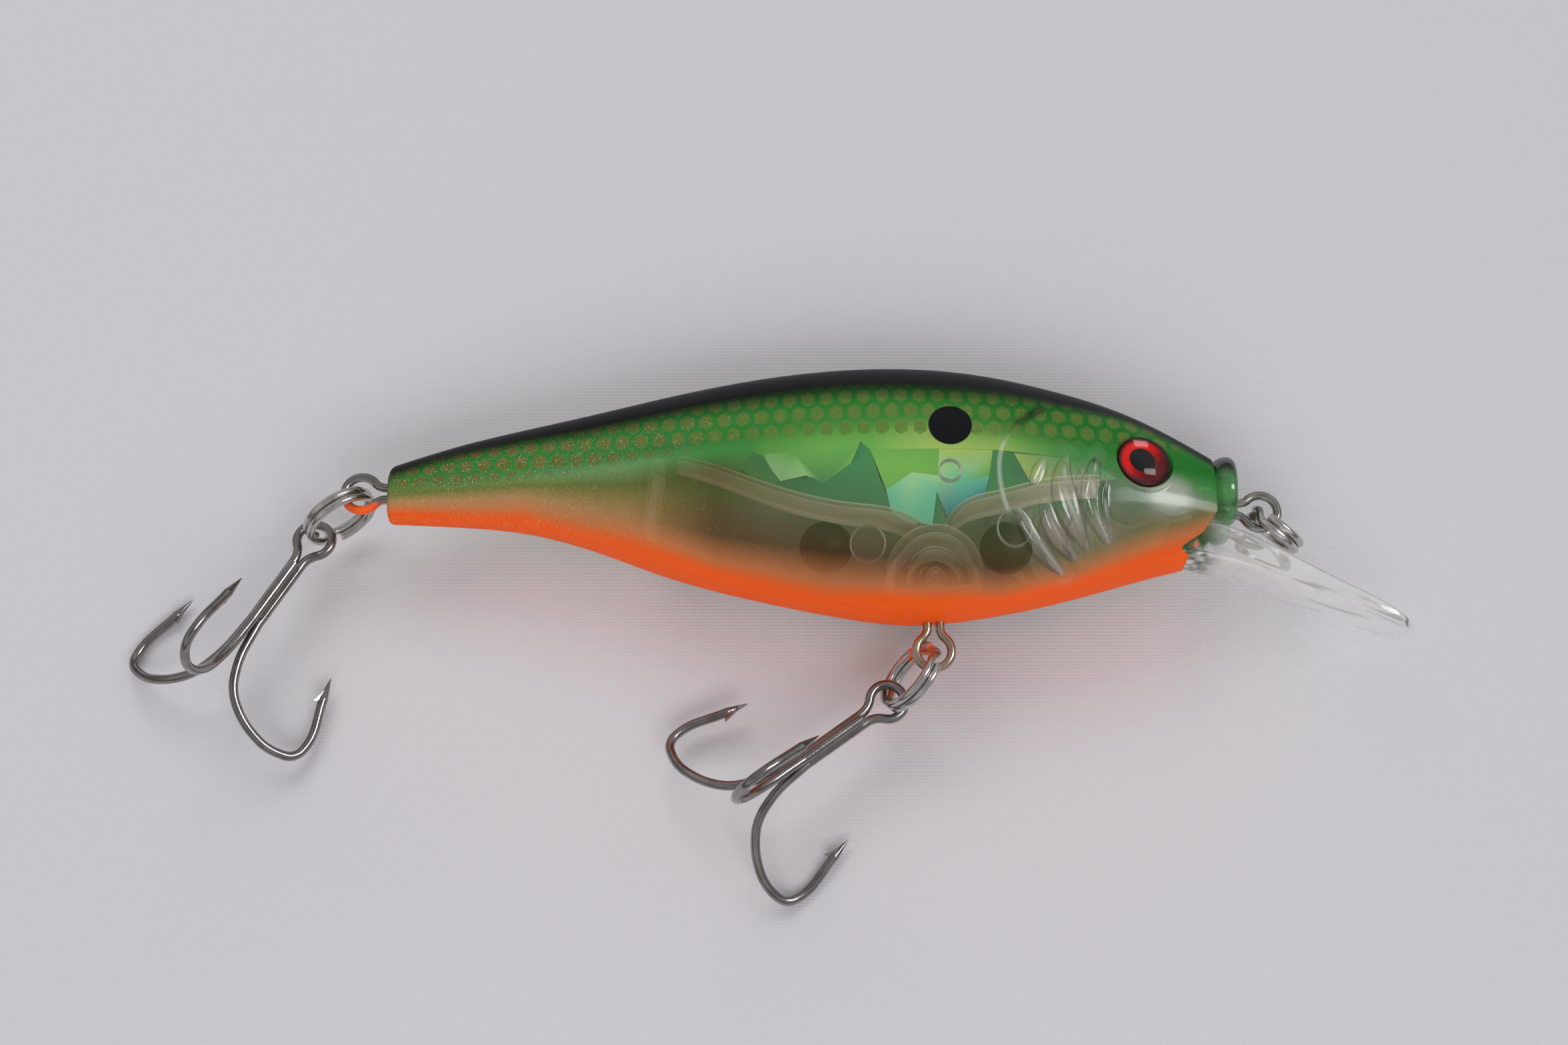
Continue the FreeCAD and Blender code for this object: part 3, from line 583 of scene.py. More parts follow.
def skin(name, side, replaced, material):
    """One painted half: its flank, and its flat faces at the tail and the nose."""
    x, y, z, out_y, out_z = skin_grid()
    lift = relief(x, y) + eye_seat(x, y, z)
    seam = GROOVE_DEPTH * np.exp(-(z / GROOVE_WIDTH) ** 2)
    lift = lift * smooth(0.0, 1.0, z) - seam
    y = y + out_y * lift
    z = np.clip(z + out_z * lift, SEAM_GAP, FAR_LIMIT if side < 0 else None)
    z[:, 0] = z[:, -1] = SEAM_GAP
    points = np.stack([x, y, z * side], axis=-1).reshape(-1, 3)
    faces = grid_faces(ROWS, COLUMNS, flip=side > 0)
    parts = [points]
    start = len(points)
    for row, flip in ((0, side < 0), (ROWS - 1, side > 0)):
        edge = points.reshape(ROWS, COLUMNS, 3)[row]
        inner = edge * (1, 1, 0) + (0, 0, SEAM_GAP * side)
        parts.extend([edge, inner])
        faces.extend(grid_faces(2, COLUMNS, start, flip=flip))
        start += 2 * COLUMNS
    points = np.concatenate(parts)
    piece = new_piece(name, points, faces, material, replaced)
    store_paint(piece.data, points)
    return piece


def store_paint(mesh, points):
    """Keep the paint's fields and the side view's coordinates on a skin's vertices."""
    x, y = points[:, 0], points[:, 1]
    colour, cover, spray, scales = paint_fields(x, y)
    glint = NOSE_GLINT * nose_patch(x, y)
    for away, _, _, width, _ in crescents(x, y):
        glint = np.maximum(glint, smooth(width * 1.1, width * 0.8, np.abs(away)))
    store(mesh, "paint", "FLOAT_COLOR", colour)
    for name, values in (("cover", cover), ("spray", spray), ("scales", scales), ("glint", glint)):
        store(mesh, name, "FLOAT", values)
    level = (y - ROW_LINE(x)) / np.interp(x, ROW_PITCH_X, ROW_PITCH_Y)
    cells = np.stack([x / SCALE_PITCH + SCALE_SHIFT, level, np.zeros(len(x))], axis=1)
    store(mesh, "cells", "FLOAT_VECTOR", cells)
    store(mesh, "side_view", "FLOAT_VECTOR", points)


# How flat a scale's cell is, and where the dark line round it ends.
ROW_STRETCH = 1.76
SCALE_BORDER = (0.06, 0.235)


def scale_cells(graph):
    """1 inside the printed scales and 0 on the lines between them."""
    along, level, _ = graph.split(graph.field("cells", "Vector"))
    wobble = graph.noise(900, 1.0)
    along = graph.plus(along, graph.times(graph.minus(wobble, 0.5), 0.10))
    distances = []
    for shift in (0.0, 0.5):
        column = graph.minus(graph.math("FRACT", graph.plus(along, shift)), 0.5)
        half_row = graph.math("MULTIPLY_ADD", level, 0.5, shift)
        row = graph.times(graph.minus(graph.math("FRACT", half_row), 0.5), ROW_STRETCH)
        distances.append((graph.radius(column, row), graph.math("ABSOLUTE", column)))
    (first, first_column), (second, second_column) = distances
    between = graph.times(graph.math("ABSOLUTE", graph.minus(first, second)), 0.58)
    nearer = graph.math("LESS_THAN", first, second)
    column = graph.plus(graph.times(first_column, nearer),
                        graph.times(second_column, graph.minus(1.0, nearer)))
    edge = graph.math("SMOOTH_MIN", between, graph.minus(0.5, column), 0.10)
    rough = graph.times(graph.minus(graph.noise(3200, 2.0, 0.7), 0.5), 0.10)
    return graph.span(graph.plus(edge, rough), *SCALE_BORDER)


# The printed spot's middle and its half length and half height.
SPOT = (46.05, 3.88)
SPOT_SIZE = (1.78, 1.84)
# The share of the light that comes through the paint to what lies below.
THIN_TO_LIGHT = 0.85
# The most that the gloss reflects on plain paint, and what the bare gill marks add.
SKIN_SHEEN = 0.013
GLINT_SHEEN = 0.05


def spot_mask(graph, side):
    """1 inside the printed spot behind the gills."""
    ratios = []
    for place, middle, size in zip(side[:2], SPOT, SPOT_SIZE):
        ratios.append(graph.math("DIVIDE", graph.minus(place, middle), size))
    return graph.span(graph.radius(*ratios), 1.02, 0.98)


def shell_paint(graph):
    """The paint's colour and cover: spray, printed scales, metal dust and the spot."""
    side = graph.split(graph.field("side_view", "Vector"))
    scales = graph.field("scales")
    spray = graph.field("spray")
    spot = spot_mask(graph, side)
    flakes = graph.span(graph.noise(9000, 2.0, 0.7), 0.56, 0.70)
    patchy = graph.span(graph.noise(2600, 3.0, 0.6), 0.30, 0.62)
    tail = graph.span(side[0], 34.0, 9.0)
    dull = graph.mix(tail, rgb(100, 128, 58), rgb(104, 100, 48))
    bright = graph.mix(tail, rgb(134, 156, 84), rgb(214, 204, 140))
    gold = graph.mix(flakes, dull, bright)
    printed = graph.times(scale_cells(graph), scales)
    printed = graph.times(printed, graph.math("MULTIPLY_ADD", patchy, 0.35, 0.62))
    loose = graph.times(graph.times(flakes, graph.math("MULTIPLY_ADD", tail, 0.55, 0.18)), patchy)
    colour = graph.mix(graph.times(scales, 0.75), graph.field("paint", "Color"), rgb(30, 118, 42))
    colour = graph.mix(printed, colour, gold)
    colour = graph.mix(loose, colour, rgb(206, 192, 132))
    # The spray field is the black spray and also the painted shade in the gill edge's upper groove.
    colour = graph.mix(spray, colour, BLACK)
    colour = graph.mix(spot, colour, rgb(10, 12, 14))
    cover = graph.math("MAXIMUM", graph.field("cover"), spray)
    cover = graph.math("MAXIMUM", cover, graph.times(printed, 0.9))
    cover = graph.math("MAXIMUM", cover, spot)
    return colour, graph.plus(cover, graph.times(loose, 0.25), clamp=True)


def painted_shell():
    """Clear plastic under translucent paint and a gloss coat."""
    graph = Graph("painted_clear_shell_look")
    colour, cover = shell_paint(graph)
    ripple = graph.bump(graph.noise(320, 2.0), 0.00004, 0.35)
    paint = graph.principled(Base_Color=colour, Roughness=0.42, Specular_IOR_Level=0.06, Normal=ripple)
    shadow = graph.add("LightPath").outputs["Is Shadow Ray"]
    tinted = graph.times(cover, graph.math("MULTIPLY_ADD", shadow, -0.5, 0.85))
    tint = graph.mix(tinted, (0.985, 0.99, 0.985), graph.mix(0.5, colour, colour, "ADD"))
    held_back = graph.times(cover, graph.math("MULTIPLY_ADD", shadow, -THIN_TO_LIGHT, 1.0))
    body = graph.blend(held_back, graph.clear(tint), paint)
    most = graph.math("MULTIPLY_ADD", graph.field("glint"), GLINT_SHEEN, SKIN_SHEEN)
    return graph.finish(glossed(graph, body, 0.13, 1.5, most, Normal=ripple))


def glossed(graph, body, roughness, index, most, **inputs):
    """A shader under a clear gloss that is weak face on and stronger towards the edges."""
    coat = graph.add("BsdfGlossy", Color=(1, 1, 1), Roughness=roughness, **inputs)
    sheen = graph.add("Fresnel", IOR=index, **inputs).outputs[0]
    return graph.blend(graph.math("MINIMUM", sheen, most), body, coat.outputs[0])


# ---- the collar

# The collar's outline as (along, half height, half width), from outside to inside.
COLLAR = [(66.6, 2.72, 2.36), (67.3, 2.50, 2.22), (67.9, 2.42, 2.15), (68.3, 2.58, 2.36), (68.7, 2.80, 2.60),
          (69.1, 2.88, 2.68), (69.5, 2.84, 2.62), (69.8, 2.62, 2.42), (69.9, 2.36, 2.16), (69.75, 2.06, 1.90),
          (69.3, 1.86, 1.72), (68.7, 1.76, 1.62), (67.6, 1.70, 1.58)]
COLLAR_MIDDLE = 0.2


def collar(material):
    """The flared green collar round the mouth."""
    profile = rounded(COLLAR, 60)
    angle = full_turn(96)
    x = np.repeat(profile[:, :1], len(angle), axis=1)
    y = COLLAR_MIDDLE + profile[:, 1:2] * np.cos(angle)
    z = profile[:, 2:3] * np.sin(angle)
    points = np.stack([x, y, z], axis=-1).reshape(-1, 3)
    faces = grid_faces(len(profile), len(angle), closed=True)
    return new_piece("mouth_collar", points, faces, material)


def tinted_collar():
    """Clear plastic with patchy green spray, and black along the top."""
    graph = Graph("mouth_collar_look")
    patches = graph.noise(420, 3.0, 0.6)
    spray = graph.span(patches, 0.36, 0.62, 0.25, 0.92)
    colour = graph.mix(patches, rgb(24, 92, 34), rgb(92, 160, 92))
    top = graph.span(graph.split(graph.place())[1], lure(0, 0.5).y, lure(0, 1.9).y)
    colour = graph.mix(top, colour, BLACK)
    paint = graph.principled(Base_Color=colour, Roughness=0.35, Specular_IOR_Level=0.2)
    body = graph.blend(graph.math("MAXIMUM", spray, top), graph.clear((0.93, 0.97, 0.93)), paint)
    return graph.finish(glossed(graph, body, 0.06, 1.6, 0.16))


# ---- inner walls

# How far above the belly line and inside the flank the walls end.
BELLY_WALL = 1.8
WALL_INSET = 0.9
# The bevel of a wall's lower edge, and the reach of the painted highlight along its rims.
WALL_BEVEL = 0.12
WALL_HIGHLIGHT_RIM = 0.35


def wall_strip(name, centreline, thick, side, material, low=0.25, depth=None, closed=False):
    """A thin wall along a line of the side view, from the flank's inside towards the seam."""
    line = np.array(centreline, float)
    line[:, 1] = np.maximum(line[:, 1], belly_at(line[:, 0]) + BELLY_WALL)
    before, after = (line[-1:], line[:1]) if closed else (line[:1], line[-1:])
    padded = np.concatenate([before, line, after])
    normal = normals(padded[2:] - padded[:-2])
    top = np.maximum(flank(line[:, 0], line[:, 1]) - WALL_INSET, low + 1.0)
    foot = np.full(len(line), low) if depth is None else top - depth
    # The last number of each step marks the rims that get a painted highlight.
    section = [(0.5, top, 1.0), (0.5, top - WALL_HIGHLIGHT_RIM, 0.0), (0.5, foot + WALL_HIGHLIGHT_RIM, 0.0),
               (0.5, foot + WALL_BEVEL, 1.0), (0.3, foot, 1.0)]
    section += [(-share, height, bright) for share, height, bright in reversed(section)]
    points, highlight_rims = [], []
    for share, height, bright in section:
        points.append(np.column_stack([line + normal * share * thick, height * side]))
        highlight_rims.append(np.full(len(line), bright))
    count = len(line)
    faces = grid_faces(len(section), count, closed=closed, flip=side > 0)
    if not closed:
        faces.append([k * count for k in range(len(section))])
        faces.append([k * count + count - 1 for k in reversed(range(len(section)))])
    piece = new_piece(name, np.concatenate(points), faces, material)
    store(piece.data, "rim", "FLOAT", np.concatenate(highlight_rims))
    return piece


def circle(centre, radius, count=56):
    """A circle of the side view."""
    angle = full_turn(count)
    return np.stack([centre[0] + radius * np.cos(angle), centre[1] + radius * np.sin(angle)], axis=1)


REAR_RIB = [(23.8, 1.75), (26.5, 0.95), (29.5, -0.25), (33.8, -1.8),
            (38.2, -2.75), (41.5, -3.3), (43.6, -4.3)]
FRONT_RIB = [(45.7, -4.4), (46.5, -3.2), (47.9, -2.3), (50.1, -1.75),
             (52.6, -1.05), (55.6, -0.5), (58.3, -0.3)]
BULKHEAD = [(22.2, 1.7), (21.9, -0.2), (21.6, -2.2), (21.5, -4.0)]
RIB_THICK = 0.42
BULKHEAD_THICK = 0.95
# The boss over the belly hanger, with its walls as (name, radius, thickness, lowest height).
BOSS = in_lure(joints["belly_ring_swing"]["pos_m"]) + Vector((0, 5.3, 0))
BOSS_WALLS = [("_boss_ring", 3.63, 0.72, 0.25), ("_boss_step", 2.1, 0.3, 1.2), ("_boss_post", 0.55, 0.3, 1.2)]
# The ejector pins' marks as (middle, radius), and their thickness and depth.
EJECTOR_MARKS = [((39.3, -5.8), 1.4), ((51.2, -4.6), 1.4), ((46.0, 0.1), 0.9)]
MARK_THICK = 0.14
MARK_DEPTH = 0.25


def clear_wall():
    """Clear plastic seen edge on: a pale tint, with painted white highlights along the rims."""
    graph = Graph("clear_wall_look")
    streaks = graph.noise(700, 3.0, 0.6)
    rim = graph.field("rim")
    tint = graph.mix(streaks, rgb(222, 216, 186), rgb(240, 238, 214))
    # Painted highlight along the rims.
    colour = graph.mix(rim, tint, rgb(255, 255, 248))
    haze = graph.principled(Base_Color=colour, Roughness=0.3, Specular_IOR_Level=0.6)
    share = graph.math("MULTIPLY_ADD", rim, 0.36, 0.56)
    return graph.finish(graph.blend(share, graph.clear((0.95, 0.96, 0.93)), haze))


def inner_walls(material):
    """Bulkhead and boss in each half, and the near half's ribs and moulding marks."""
    for word, side in SIDES:
        if side > 0:
            wall_strip("near_rear_rib", rounded(REAR_RIB, 40), RIB_THICK, side, material)
            wall_strip("near_front_rib", rounded(FRONT_RIB, 30), RIB_THICK, side, material)
        wall_strip(word + "_bulkhead", rounded(BULKHEAD, 16), BULKHEAD_THICK, side, material)
        for name, radius, thick, low in BOSS_WALLS:
            wall_strip(word + name, circle(BOSS, radius), thick, side, material, low=low, closed=True)
    for index, (centre, radius) in enumerate(EJECTOR_MARKS):
        name = "moulding_mark_%d" % index
        wall_strip(name, circle(centre, radius), MARK_THICK, 1, material, depth=MARK_DEPTH, closed=True)


# ---- foil

FOIL_COLOURS = {
    "dark": rgb(84, 142, 104), "deep": rgb(96, 164, 108), "green": rgb(150, 214, 108),
    "mint": rgb(204, 250, 190), "teal": rgb(140, 236, 204), "lime": rgb(228, 246, 140),
    "blue": rgb(60, 150, 190), "gold": rgb(200, 214, 130),
}
# The foil's facets: the corners of each, and the colours there in the same order.
SHARDS = [
    ([(23.2, 5.9), (31.0, 7.6), (31.0, 3.2), (28.9, 2.0), (23.4, 3.6)], "green green green deep deep"),
    ([(31.0, 7.6), (40.0, 8.7), (39.72, 3.88), (38.9, 4.6), (33.4, 3.7), (31.0, 3.3)], "green " * 6),
    ([(40.0, 8.7), (48.0, 8.2), (55.0, 6.5), (60.2, 4.4), (58.0, 3.0), (49.95, 3.9), (45.5, 4.0),
      (39.7, 3.9)], "green green green deep deep lime lime green"),
    ([(28.9, 2.2), (29.9, 3.7), (30.8, 3.3), (32.1, 1.1), (31.0, 0.6)], "deep dark dark deep dark"),
    ([(30.5, 3.5), (33.3, 3.7), (34.4, 1.6), (32.2, 1.1)], "mint green mint mint"),
    ([(33.3, 3.72), (37.8, 4.45), (38.9, 4.65), (38.1, 2.7), (35.8, 0.9), (34.4, 1.6)],
     "green green green green deep mint"),
    ([(38.9, 4.6), (39.7, 3.9), (41.4, -1.6), (34.8, -0.5), (31.4, 0.6), (32.1, 1.05), (34.8, 1.5),
      (35.8, 0.9), (38.1, 2.7)], "dark deep dark dark deep dark dark dark dark"),
    ([(39.7, 3.9), (45.5, 4.0), (45.3, 1.6), (43.2, 1.9), (41.0, 0.4)], "green " * 5),
    ([(41.0, 0.4), (43.2, 1.9), (45.3, 1.6), (45.2, 0.2), (44.8, -2.7), (42.6, -2.5), (41.4, -1.6)],
     "teal mint mint teal teal teal teal"),
    ([(45.2, 0.2), (46.0, -2.7), (44.8, -2.7)], "dark deep dark"),
    ([(45.5, 4.0), (49.95, 3.9), (49.6, 1.6), (47.2, 1.0), (45.3, 1.6)], "lime lime green teal mint"),
    ([(45.3, 1.6), (47.2, 1.0), (49.6, 1.6), (49.2, -0.2), (46.0, -1.9), (45.2, 0.2)],
     "mint teal teal blue blue teal"),
    ([(49.95, 3.9), (51.7, 3.6), (52.9, 1.2), (52.3, -0.4), (49.3, -0.3)], "deep dark dark deep deep"),
    ([(51.7, 3.6), (58.0, 3.0), (60.2, 1.3), (54.0, 0.6), (52.9, 1.2)], "lime deep deep gold gold"),
]
# The foil's height over the seam, the most that it rises or sinks, its facets' tilt and its glow.
FOIL_LEVEL = 0.05
FOIL_REACH = 0.22
FOIL_TILT = 0.012
FOIL_GLOW = 0.16


def foil(material):
    """The crumpled prism foil: flat facets that each lie at their own slight angle."""
    points, faces, colours = [], [], []
    for outline, shades in SHARDS:
        tilt = rng.normal(0, FOIL_TILT, 2)
        centre = np.mean(outline, axis=0)
        start = len(points)
        for (x, y), shade in zip(outline, shades.split()):
            level = FOIL_LEVEL + (x - centre[0]) * tilt[0] + (y - centre[1]) * tilt[1]
            points.append((x, y, float(np.clip(level, -FOIL_REACH, FOIL_REACH))))
            colours.append(FOIL_COLOURS[shade])
        faces.append(list(range(start, len(points)))[::-1])
    piece = new_piece("foil_insert", points, faces, material, ("prism_foil_insert",), False)
    store(piece.data, "foil_colour", "FLOAT_COLOR", colours)
    return piece


def prism_foil():
    """Foil with a fine prism print, in its facets' colours, with a glow in place of mirrored light."""
    graph = Graph("prism_foil_look")
    fine = graph.noise(2200, 2.0, 0.6)
    bands = {"wave_type": "BANDS", "bands_direction": "DIAGONAL"}
    wave = graph.add("TexWave", bands, Scale=2600, Distortion=1.5, Detail=1.0, Vector=graph.place())
    facets = graph.field("foil_colour", "Color")
    hue = graph.math("MULTIPLY_ADD", fine, 0.22, 0.39)
    shifted = graph.add("HueSaturation", Hue=hue, Saturation=1.1, Value=1.2, Color=facets)
    colour = graph.mix(0.10, facets, shifted.outputs[0])
    return graph.finish(graph.principled(
        Base_Color=colour, Metallic=0.1, Roughness=0.34, Emission_Color=colour,
        Emission_Strength=FOIL_GLOW, Normal=graph.bump(wave.outputs["Fac"], 0.00002, 0.25)))


# ---- eyes

def eye_frame(side):
    """An eye's centre and its three directions: across, up and out."""
    centre = Vector((EYE.x, EYE.y, EYE.z * side))
    out = Vector((EYE_OUT.x, EYE_OUT.y, EYE_OUT.z * side))
    across = Vector((0, 1, 0)).cross(out).normalized() * side
    return centre, across, out.cross(across).normalized() * side, out


def turned(name, profile, side, material, replaced, count=72):
    """A round piece turned about an eye's axis from (radius, height) points."""
    centre, across, up, out = eye_frame(side)
    points, flat = [], []
    for radius, height in profile:
        for angle in full_turn(count):
            cosine, sine = math.cos(angle), math.sin(angle)
            points.append(centre + across * radius * cosine + up * radius * sine + out * height)
            flat.append((radius * cosine, radius * sine, 0.0))
    faces = grid_faces(len(profile), count, closed=True, flip=side < 0)
    piece = new_piece(name, [list(point) for point in points], faces, material, replaced)
    store(piece.data, "eye_place", "FLOAT_VECTOR", flat)
    return piece


# The printed disc's (radius, height) points, from the middle of its face to that of its back.
DISC_PROFILE = [(0.02, 0.10), (0.8, 0.10), (1.5, 0.08), (2.0, 0.05), (2.29, 0.02),
                (2.29, -0.12), (0.02, -0.12)]


def dome_profile():
    """A clear cap from its foot to its crown."""
    foot, shoulder, crown = 0.125, 0.36, 1.07
    radius = EYE_RADIUS
    cap = crown - shoulder
    sphere = (radius ** 2 + cap ** 2) / (2 * cap)
    profile = [(0.02, foot), (radius - 0.03, foot), (radius, foot + 0.04), (radius, shoulder - 0.03)]
    steep = math.asin(radius / sphere)
    for share in np.linspace(0.98, 0.005, 26):
        angle = steep * share
        profile.append((sphere * math.sin(angle), crown - sphere + sphere * math.cos(angle)))
    return profile


# The pupil's middle, seen from the eye's, and its radius.
PUPIL = (-0.14, 0.10)
PUPIL_RADIUS = 1.12


def printed_eye():
    """Red iris, lighter to one side, with a dark rim and a black pupil."""
    graph = Graph("eye_print_look")
    place = graph.field("eye_place", "Vector")
    across, up, _ = graph.split(place)
    length = {"operation": "LENGTH"}
    rim = graph.add("VectorMath", length, i0=place).outputs["Value"]
    apart = {"operation": "SUBTRACT"}
    shifted = graph.add("VectorMath", apart, i0=place, i1=(*PUPIL, 0.0)).outputs[0]
    radius = graph.add("VectorMath", length, i0=shifted).outputs["Value"]
    lean = graph.plus(graph.times(across, -0.30), graph.times(up, 0.34))
    glow = graph.plus(lean, graph.times(graph.noise(2600, 2.0, 0.6), 0.35))
    iris = graph.mix(graph.span(glow, -0.35, 0.62), rgb(100, 2, 5), rgb(244, 18, 10))
    iris = graph.mix(graph.span(rim, 1.70, 2.15), iris, rgb(48, 3, 5))
    colour = graph.mix(graph.span(radius, PUPIL_RADIUS + 0.05, PUPIL_RADIUS - 0.04), iris, rgb(6, 6, 8))
    return graph.finish(graph.principled(Base_Color=colour, Specular_IOR_Level=0.1, Roughness=0.34))


def clear_resin():
    """Clear resin: a mirror-like gloss over what lies beneath."""
    graph = Graph("clear_lens_look")
    return graph.finish(glossed(graph, graph.clear((0.97, 0.95, 0.95)), 0.09, 1.5, 0.022))


# ---- lip

# Centreline of the lip from its root to its tip, with thickness and half width there.
LIP = [
    (64.2, -4.5, 2.4, 2.6), (66.8, -4.6, 3.1, 3.0), (69.4, -5.25, 3.0, 3.15), (71.8, -6.3, 2.6, 3.2),
    (74.8, -7.75, 2.2, 3.2), (77.3, -8.95, 1.75, 3.2), (79.8, -10.05, 1.3, 3.15), (81.8, -11.05, 1.0, 2.85),
    (83.0, -11.7, 0.85, 2.2), (83.6, -12.0, 0.7, 1.35), (83.85, -12.1, 0.4, 0.5),
]
# How square its section is (1 is round), and its scoop above and keel below.
LIP_SQUARE = 0.36
SCOOP = 0.32
KEEL = 0.18
# The lip's lean in radians, and how long its dark streaks are for their width.
LIP_LEAN = -0.413
STREAK_LENGTH = 9.0


def lip(material):
    """The diving lip: a clear wedge with a scooped upper face and rounded edges."""
    line = rounded(LIP, 90)
    normal = normals(np.gradient(line[:, :2], axis=0))
    angle = full_turn(80)
    across = np.sign(np.sin(angle)) * np.abs(np.sin(angle)) ** LIP_SQUARE
    through = np.sign(np.cos(angle)) * np.abs(np.cos(angle)) ** LIP_SQUARE
    points = []
    for index, (x, y, thick, half) in enumerate(line):
        share = index / (len(line) - 1)
        scoop = SCOOP * math.sin(math.pi * min(share * 1.15, 1.0)) * np.maximum(through, 0)
        scoop = scoop * (1 - across ** 2)
        keel = KEEL * math.sin(math.pi * share) * np.maximum(-through, 0) * (1 - np.abs(across))
        rise = through * thick / 2 - scoop * thick / 2 - keel
        out_x, out_y = normal[index]
        points.append(np.column_stack([x + out_x * rise, y + out_y * rise, across * half]))
    count = len(angle)
    faces = grid_faces(len(line), count, closed=True, flip=True)
    faces.append(list(range(count)))
    faces.append([(len(line) - 1) * count + k for k in reversed(range(count))])
    points = np.concatenate(points)
    return new_piece("clear_diving_lip", points, faces, material, ("diving_lip",))


def clear_lip():
    """Clear plastic with milky clouds and faint dark streaks drawn along it, and green spray at its root."""
    graph = Graph("clear_lip_look")
    along = graph.split(graph.place())[0]
    patches = graph.span(graph.noise(500, 3.0), 0.40, 0.56)
    root = graph.times(graph.span(along, lure(68.6, 0).x, lure(66.2, 0).x), patches)
    wavy = graph.bump(graph.noise(420, 2.0), 0.00012, 0.35)
    glass = graph.principled(
        Base_Color=(0.97, 0.98, 0.97), Roughness=0.03, IOR=1.47, Transmission_Weight=1.0, Normal=wavy)
    milk = graph.principled(Base_Color=rgb(226, 226, 220), Roughness=0.25)
    shadow = graph.add("LightPath").outputs["Is Shadow Ray"]
    cast = graph.blend(graph.span(graph.noise(260, 2.0), 0.35, 0.7, 0.12, 0.34), glass, milk)
    drawn_out = graph.add("Mapping", {"vector_type": "TEXTURE"}, Vector=graph.place(),
                          Rotation=(0, 0, LIP_LEAN), Scale=(STREAK_LENGTH, 1, 1)).outputs[0]
    streaks = graph.span(graph.noise(1300, 2.0, 0.5, drawn_out), 0.58, 0.70, 0.0, 0.42)
    cast = graph.blend(streaks, cast, graph.principled(Base_Color=rgb(96, 98, 92), Roughness=0.3))
    body = graph.blend(shadow, cast, graph.clear((0.86, 0.87, 0.86)))
    return graph.finish(graph.blend(root, body, graph.principled(Base_Color=rgb(20, 78, 32), Roughness=0.3)))


# ---- metal

def metal(name, colour, roughness, paint=None):
    """Plated wire with fine drawing marks and duller patches; paint is a function that gives its mask."""
    graph = Graph(name)
    patches = graph.noise(700, 3.0, 0.6)
    marks = graph.noise(5200, 2.0, 0.6)
    base = graph.mix(graph.span(patches, 0.3, 0.7), colour * 0.80, colour * 1.12)
    rough = graph.math("MULTIPLY_ADD", patches, 0.16, roughness - 0.06)
    metallic = 1.0
    if paint is not None:
        mask = paint(graph)
        base = graph.mix(mask, base, ORANGE)
        rough = graph.math("MULTIPLY_ADD", mask, 0.2, rough)
        metallic = graph.minus(1.0, mask)
    return graph.finish(graph.principled(
        Base_Color=base, Metallic=metallic, Roughness=rough, Normal=graph.bump(marks, 0.000012, 0.5)))


def lower_side(limit, width=0.35):
    """A mask of orange spray below a height of the side view."""
    def mask(graph):
        level = graph.plus(graph.split(graph.place())[1], graph.times(graph.noise(1500, 2.0), 0.0004))
        return graph.span(level, lure(0, limit + width).y, lure(0, limit - width).y)
    return mask


def upper_side(limit, width=0.35):
    """An orange mask above a height of the side view, in patches."""
    def mask(graph):
        level = graph.split(graph.place())[1]
        high = graph.span(level, lure(0, limit - width).y, lure(0, limit + width).y)
        return graph.times(high, graph.span(graph.noise(900, 2.0), 0.42, 0.56))
    return mask


def finish_nodes():
    """Give the CAD pieces that stay their metals."""
    hook = metal("black_nickel_look", rgb(150, 146, 144), 0.16)
    braze = metal("braze_look", rgb(122, 118, 116), 0.26)
    ring = metal("bright_nickel_look", rgb(206, 203, 198), 0.15)
    wire = metal("stainless_look", rgb(172, 170, 164), 0.17)
    looks = {
        "line_tie_wire": wire,
        "line_tie_ring": ring,
        "tail_split_ring": ring,
        "belly_split_ring": metal("belly_ring_look", rgb(206, 203, 198), 0.15, upper_side(-13.6)),
        "tail_hook_hanger": metal("tail_hanger_look", rgb(150, 148, 142), 0.17, lower_side(-0.75)),
        "belly_hook_hanger": metal("belly_hanger_look", rgb(188, 168, 148), 0.19),
        "front_rattle_ball": metal("ball_look", rgb(58, 52, 46), 0.5),
    }
    looks["rear_rattle_ball"] = looks["front_rattle_ball"]
    for word in ("belly", "tail"):
        looks[word + "_treble_double_hook"] = hook
        looks[word + "_treble_single_hook"] = hook
        looks[word + "_treble_braze"] = braze
    for node, look in looks.items():
        for slot in frame["nodes"][node].material_slots:
            slot.material = look


# ---- stage

# The weave's pitch and the floor's reach, in metres, and the floor's points each way.
WEAVE_PITCH = 0.00046
FLOOR_REACH = 0.9
FLOOR_POINTS = 60


def woven_floor():
    """Pale cloth with a fine diagonal dot weave."""
    graph = Graph("pale_weave_look")
    along, level, _ = graph.split(graph.place())
    turns = []
    for slope in (0.8, -0.8):
        slant = graph.math("MULTIPLY_ADD", level, slope, along)
        turns.append(graph.math("SINE", graph.times(slant, 2 * math.pi / WEAVE_PITCH)))
    weave = graph.times(turns[0], turns[1])
    cloud = graph.noise(14, 3.0, 0.5)
    grain = graph.noise(3000, 2.0, 0.6)
    tone = graph.plus(graph.times(weave, 0.030), graph.times(grain, 0.05))
    tone = graph.plus(tone, graph.math("MULTIPLY_ADD", cloud, 0.06, 0.40), clamp=True)
    colour = graph.mix(tone, rgb(196, 194, 199), rgb(240, 238, 241))
    return graph.finish(graph.principled(
        Base_Color=colour, Roughness=0.65, Specular_IOR_Level=0.25, Normal=graph.bump(weave, 0.00004, 0.35)))


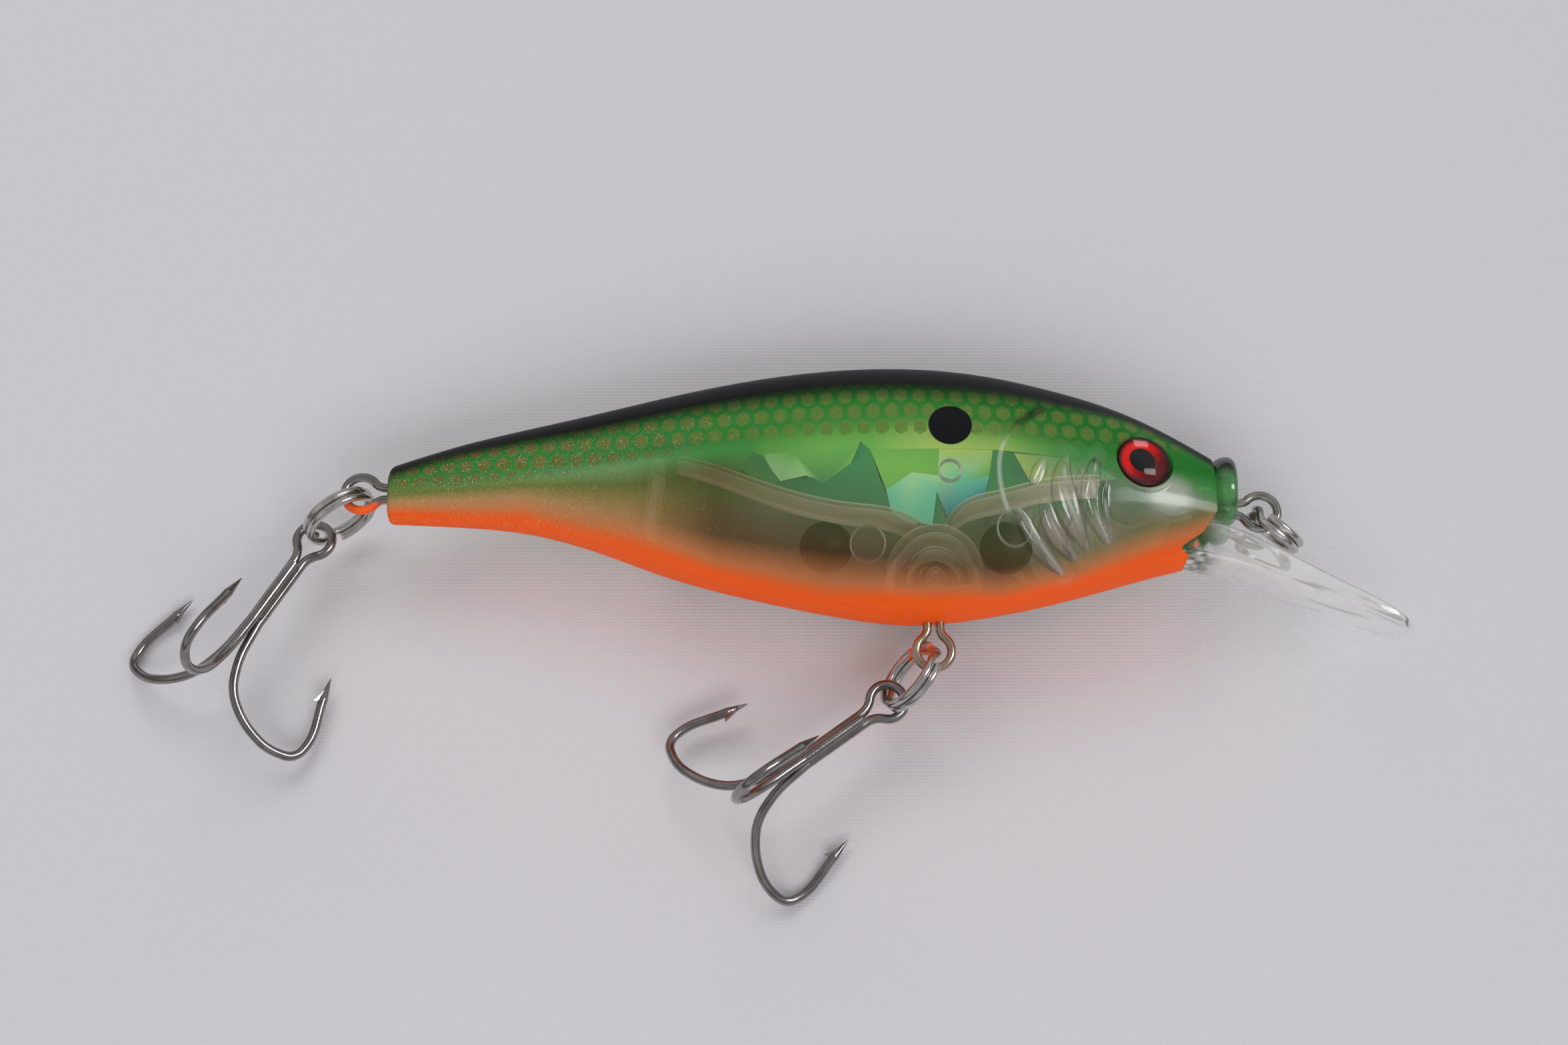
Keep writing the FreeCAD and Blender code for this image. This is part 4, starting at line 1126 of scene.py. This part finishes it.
def floor():
    """A large, flat, pale floor."""
    line = np.linspace(-FLOOR_REACH, FLOOR_REACH, FLOOR_POINTS)
    x, y = np.meshgrid(line, line, indexing="ij")
    points = np.stack([x, y, np.zeros_like(x)], axis=-1).reshape(-1, 3)
    mesh = bpy.data.meshes.new("floor")
    mesh.from_pydata(points.tolist(), [], grid_faces(FLOOR_POINTS, FLOOR_POINTS, flip=True))
    mesh.materials.append(woven_floor())
    piece = placed("floor", mesh)


# The panel lights as (name, place from the lure's middle, size, power, colour), in metres and watts.
PANELS = [
    ("window", (-0.16, 0.42, 0.46), (0.55, 0.30), 1.4, (1.0, 0.99, 0.98)),
    ("fill", (0.05, -0.42, 0.42), (0.50, 0.30), 1.4, (1.0, 0.99, 1.0)),
    ("nose_panel", (0.34, 0.03, 0.40), (0.11, 0.24), 0.75, (0.97, 0.99, 1.0)),
]
# The room's grey as (height, level), and its strength.
ROOM_LEVELS = [(0.25, 0.30), (0.55, 0.85), (0.80, 0.62)]
ROOM_STRENGTH = 0.64


def lights():
    """Panels behind the back and below the belly, and one over the nose that only reflections show."""
    centre = lure(32, 0, -SEAM_HEIGHT)
    for name, offset, size, power, colour in PANELS:
        data = bpy.data.lights.new(name, "AREA")
        data.shape = "RECTANGLE"
        data.size, data.size_y = size
        data.energy = power
        data.color = colour
        lamp = placed(name, data)
        lamp.location = centre + Vector(offset)
        lamp.rotation_euler = (centre - lamp.location).to_track_quat("-Z", "Y").to_euler()
        lamp.visible_glossy = name == "nose_panel"
        lamp.visible_diffuse = name != "nose_panel"


def room():
    """A grey room, brightest a little above the middle of its height."""
    bpy.context.scene.world = bpy.data.worlds.new("room")
    graph = Graph("room", bpy.context.scene.world)
    height = graph.split(graph.add("TexCoord").outputs["Generated"])[2]
    ramp = graph.add("ValToRGB", i0=height)
    stops = ramp.color_ramp.elements
    stops[0].position, stops[0].color = 0.0, (0.16, 0.16, 0.17, 1)
    stops[1].position, stops[1].color = 1.0, (0.42, 0.42, 0.43, 1)
    for place, level in ROOM_LEVELS:
        stops.new(place).color = (level, level, level * 1.02, 1)
    shade = graph.add("Background", i0=ramp.outputs[0], Strength=ROOM_STRENGTH)
    graph.finish(shade.outputs[0], "OutputWorld")


# Where the camera looks, in the lure's frame, and how far off it stands, in metres.
CAMERA_AIM = (32.51, -0.31)
CAMERA_OFFSET = (0.0, -0.07695, 0.22733)


def camera():
    """Look down on the lure, leaning towards its belly."""
    data = bpy.data.cameras.new("camera")
    data.lens = 64.65
    data.sensor_width = 36.0
    data.clip_start = 0.005
    aim = lure(*CAMERA_AIM, -SEAM_HEIGHT)
    eye = placed("camera", data)
    eye.location = aim + Vector(CAMERA_OFFSET)
    eye.rotation_euler = (aim - eye.location).to_track_quat("-Z", "Y").to_euler()
    bpy.context.scene.camera = eye
    bpy.context.scene.view_settings.view_transform = "Standard"


shell = painted_shell()
skin("near_painted_skin", 1, ("near_body_half",), shell)
skin("far_painted_skin", -1, ("far_body_half",), shell)
collar(tinted_collar())
inner_walls(clear_wall())
foil(prism_foil())
iris = printed_eye()
resin = clear_resin()
for word, side in SIDES:
    turned(word + "_iris", DISC_PROFILE, side, iris, (word + "_eye_disc",))
    turned(word + "_lens", dome_profile(), side, resin, (word + "_eye_dome",))
lip(clear_lip())
finish_nodes()
floor()
lights()
room()
camera()
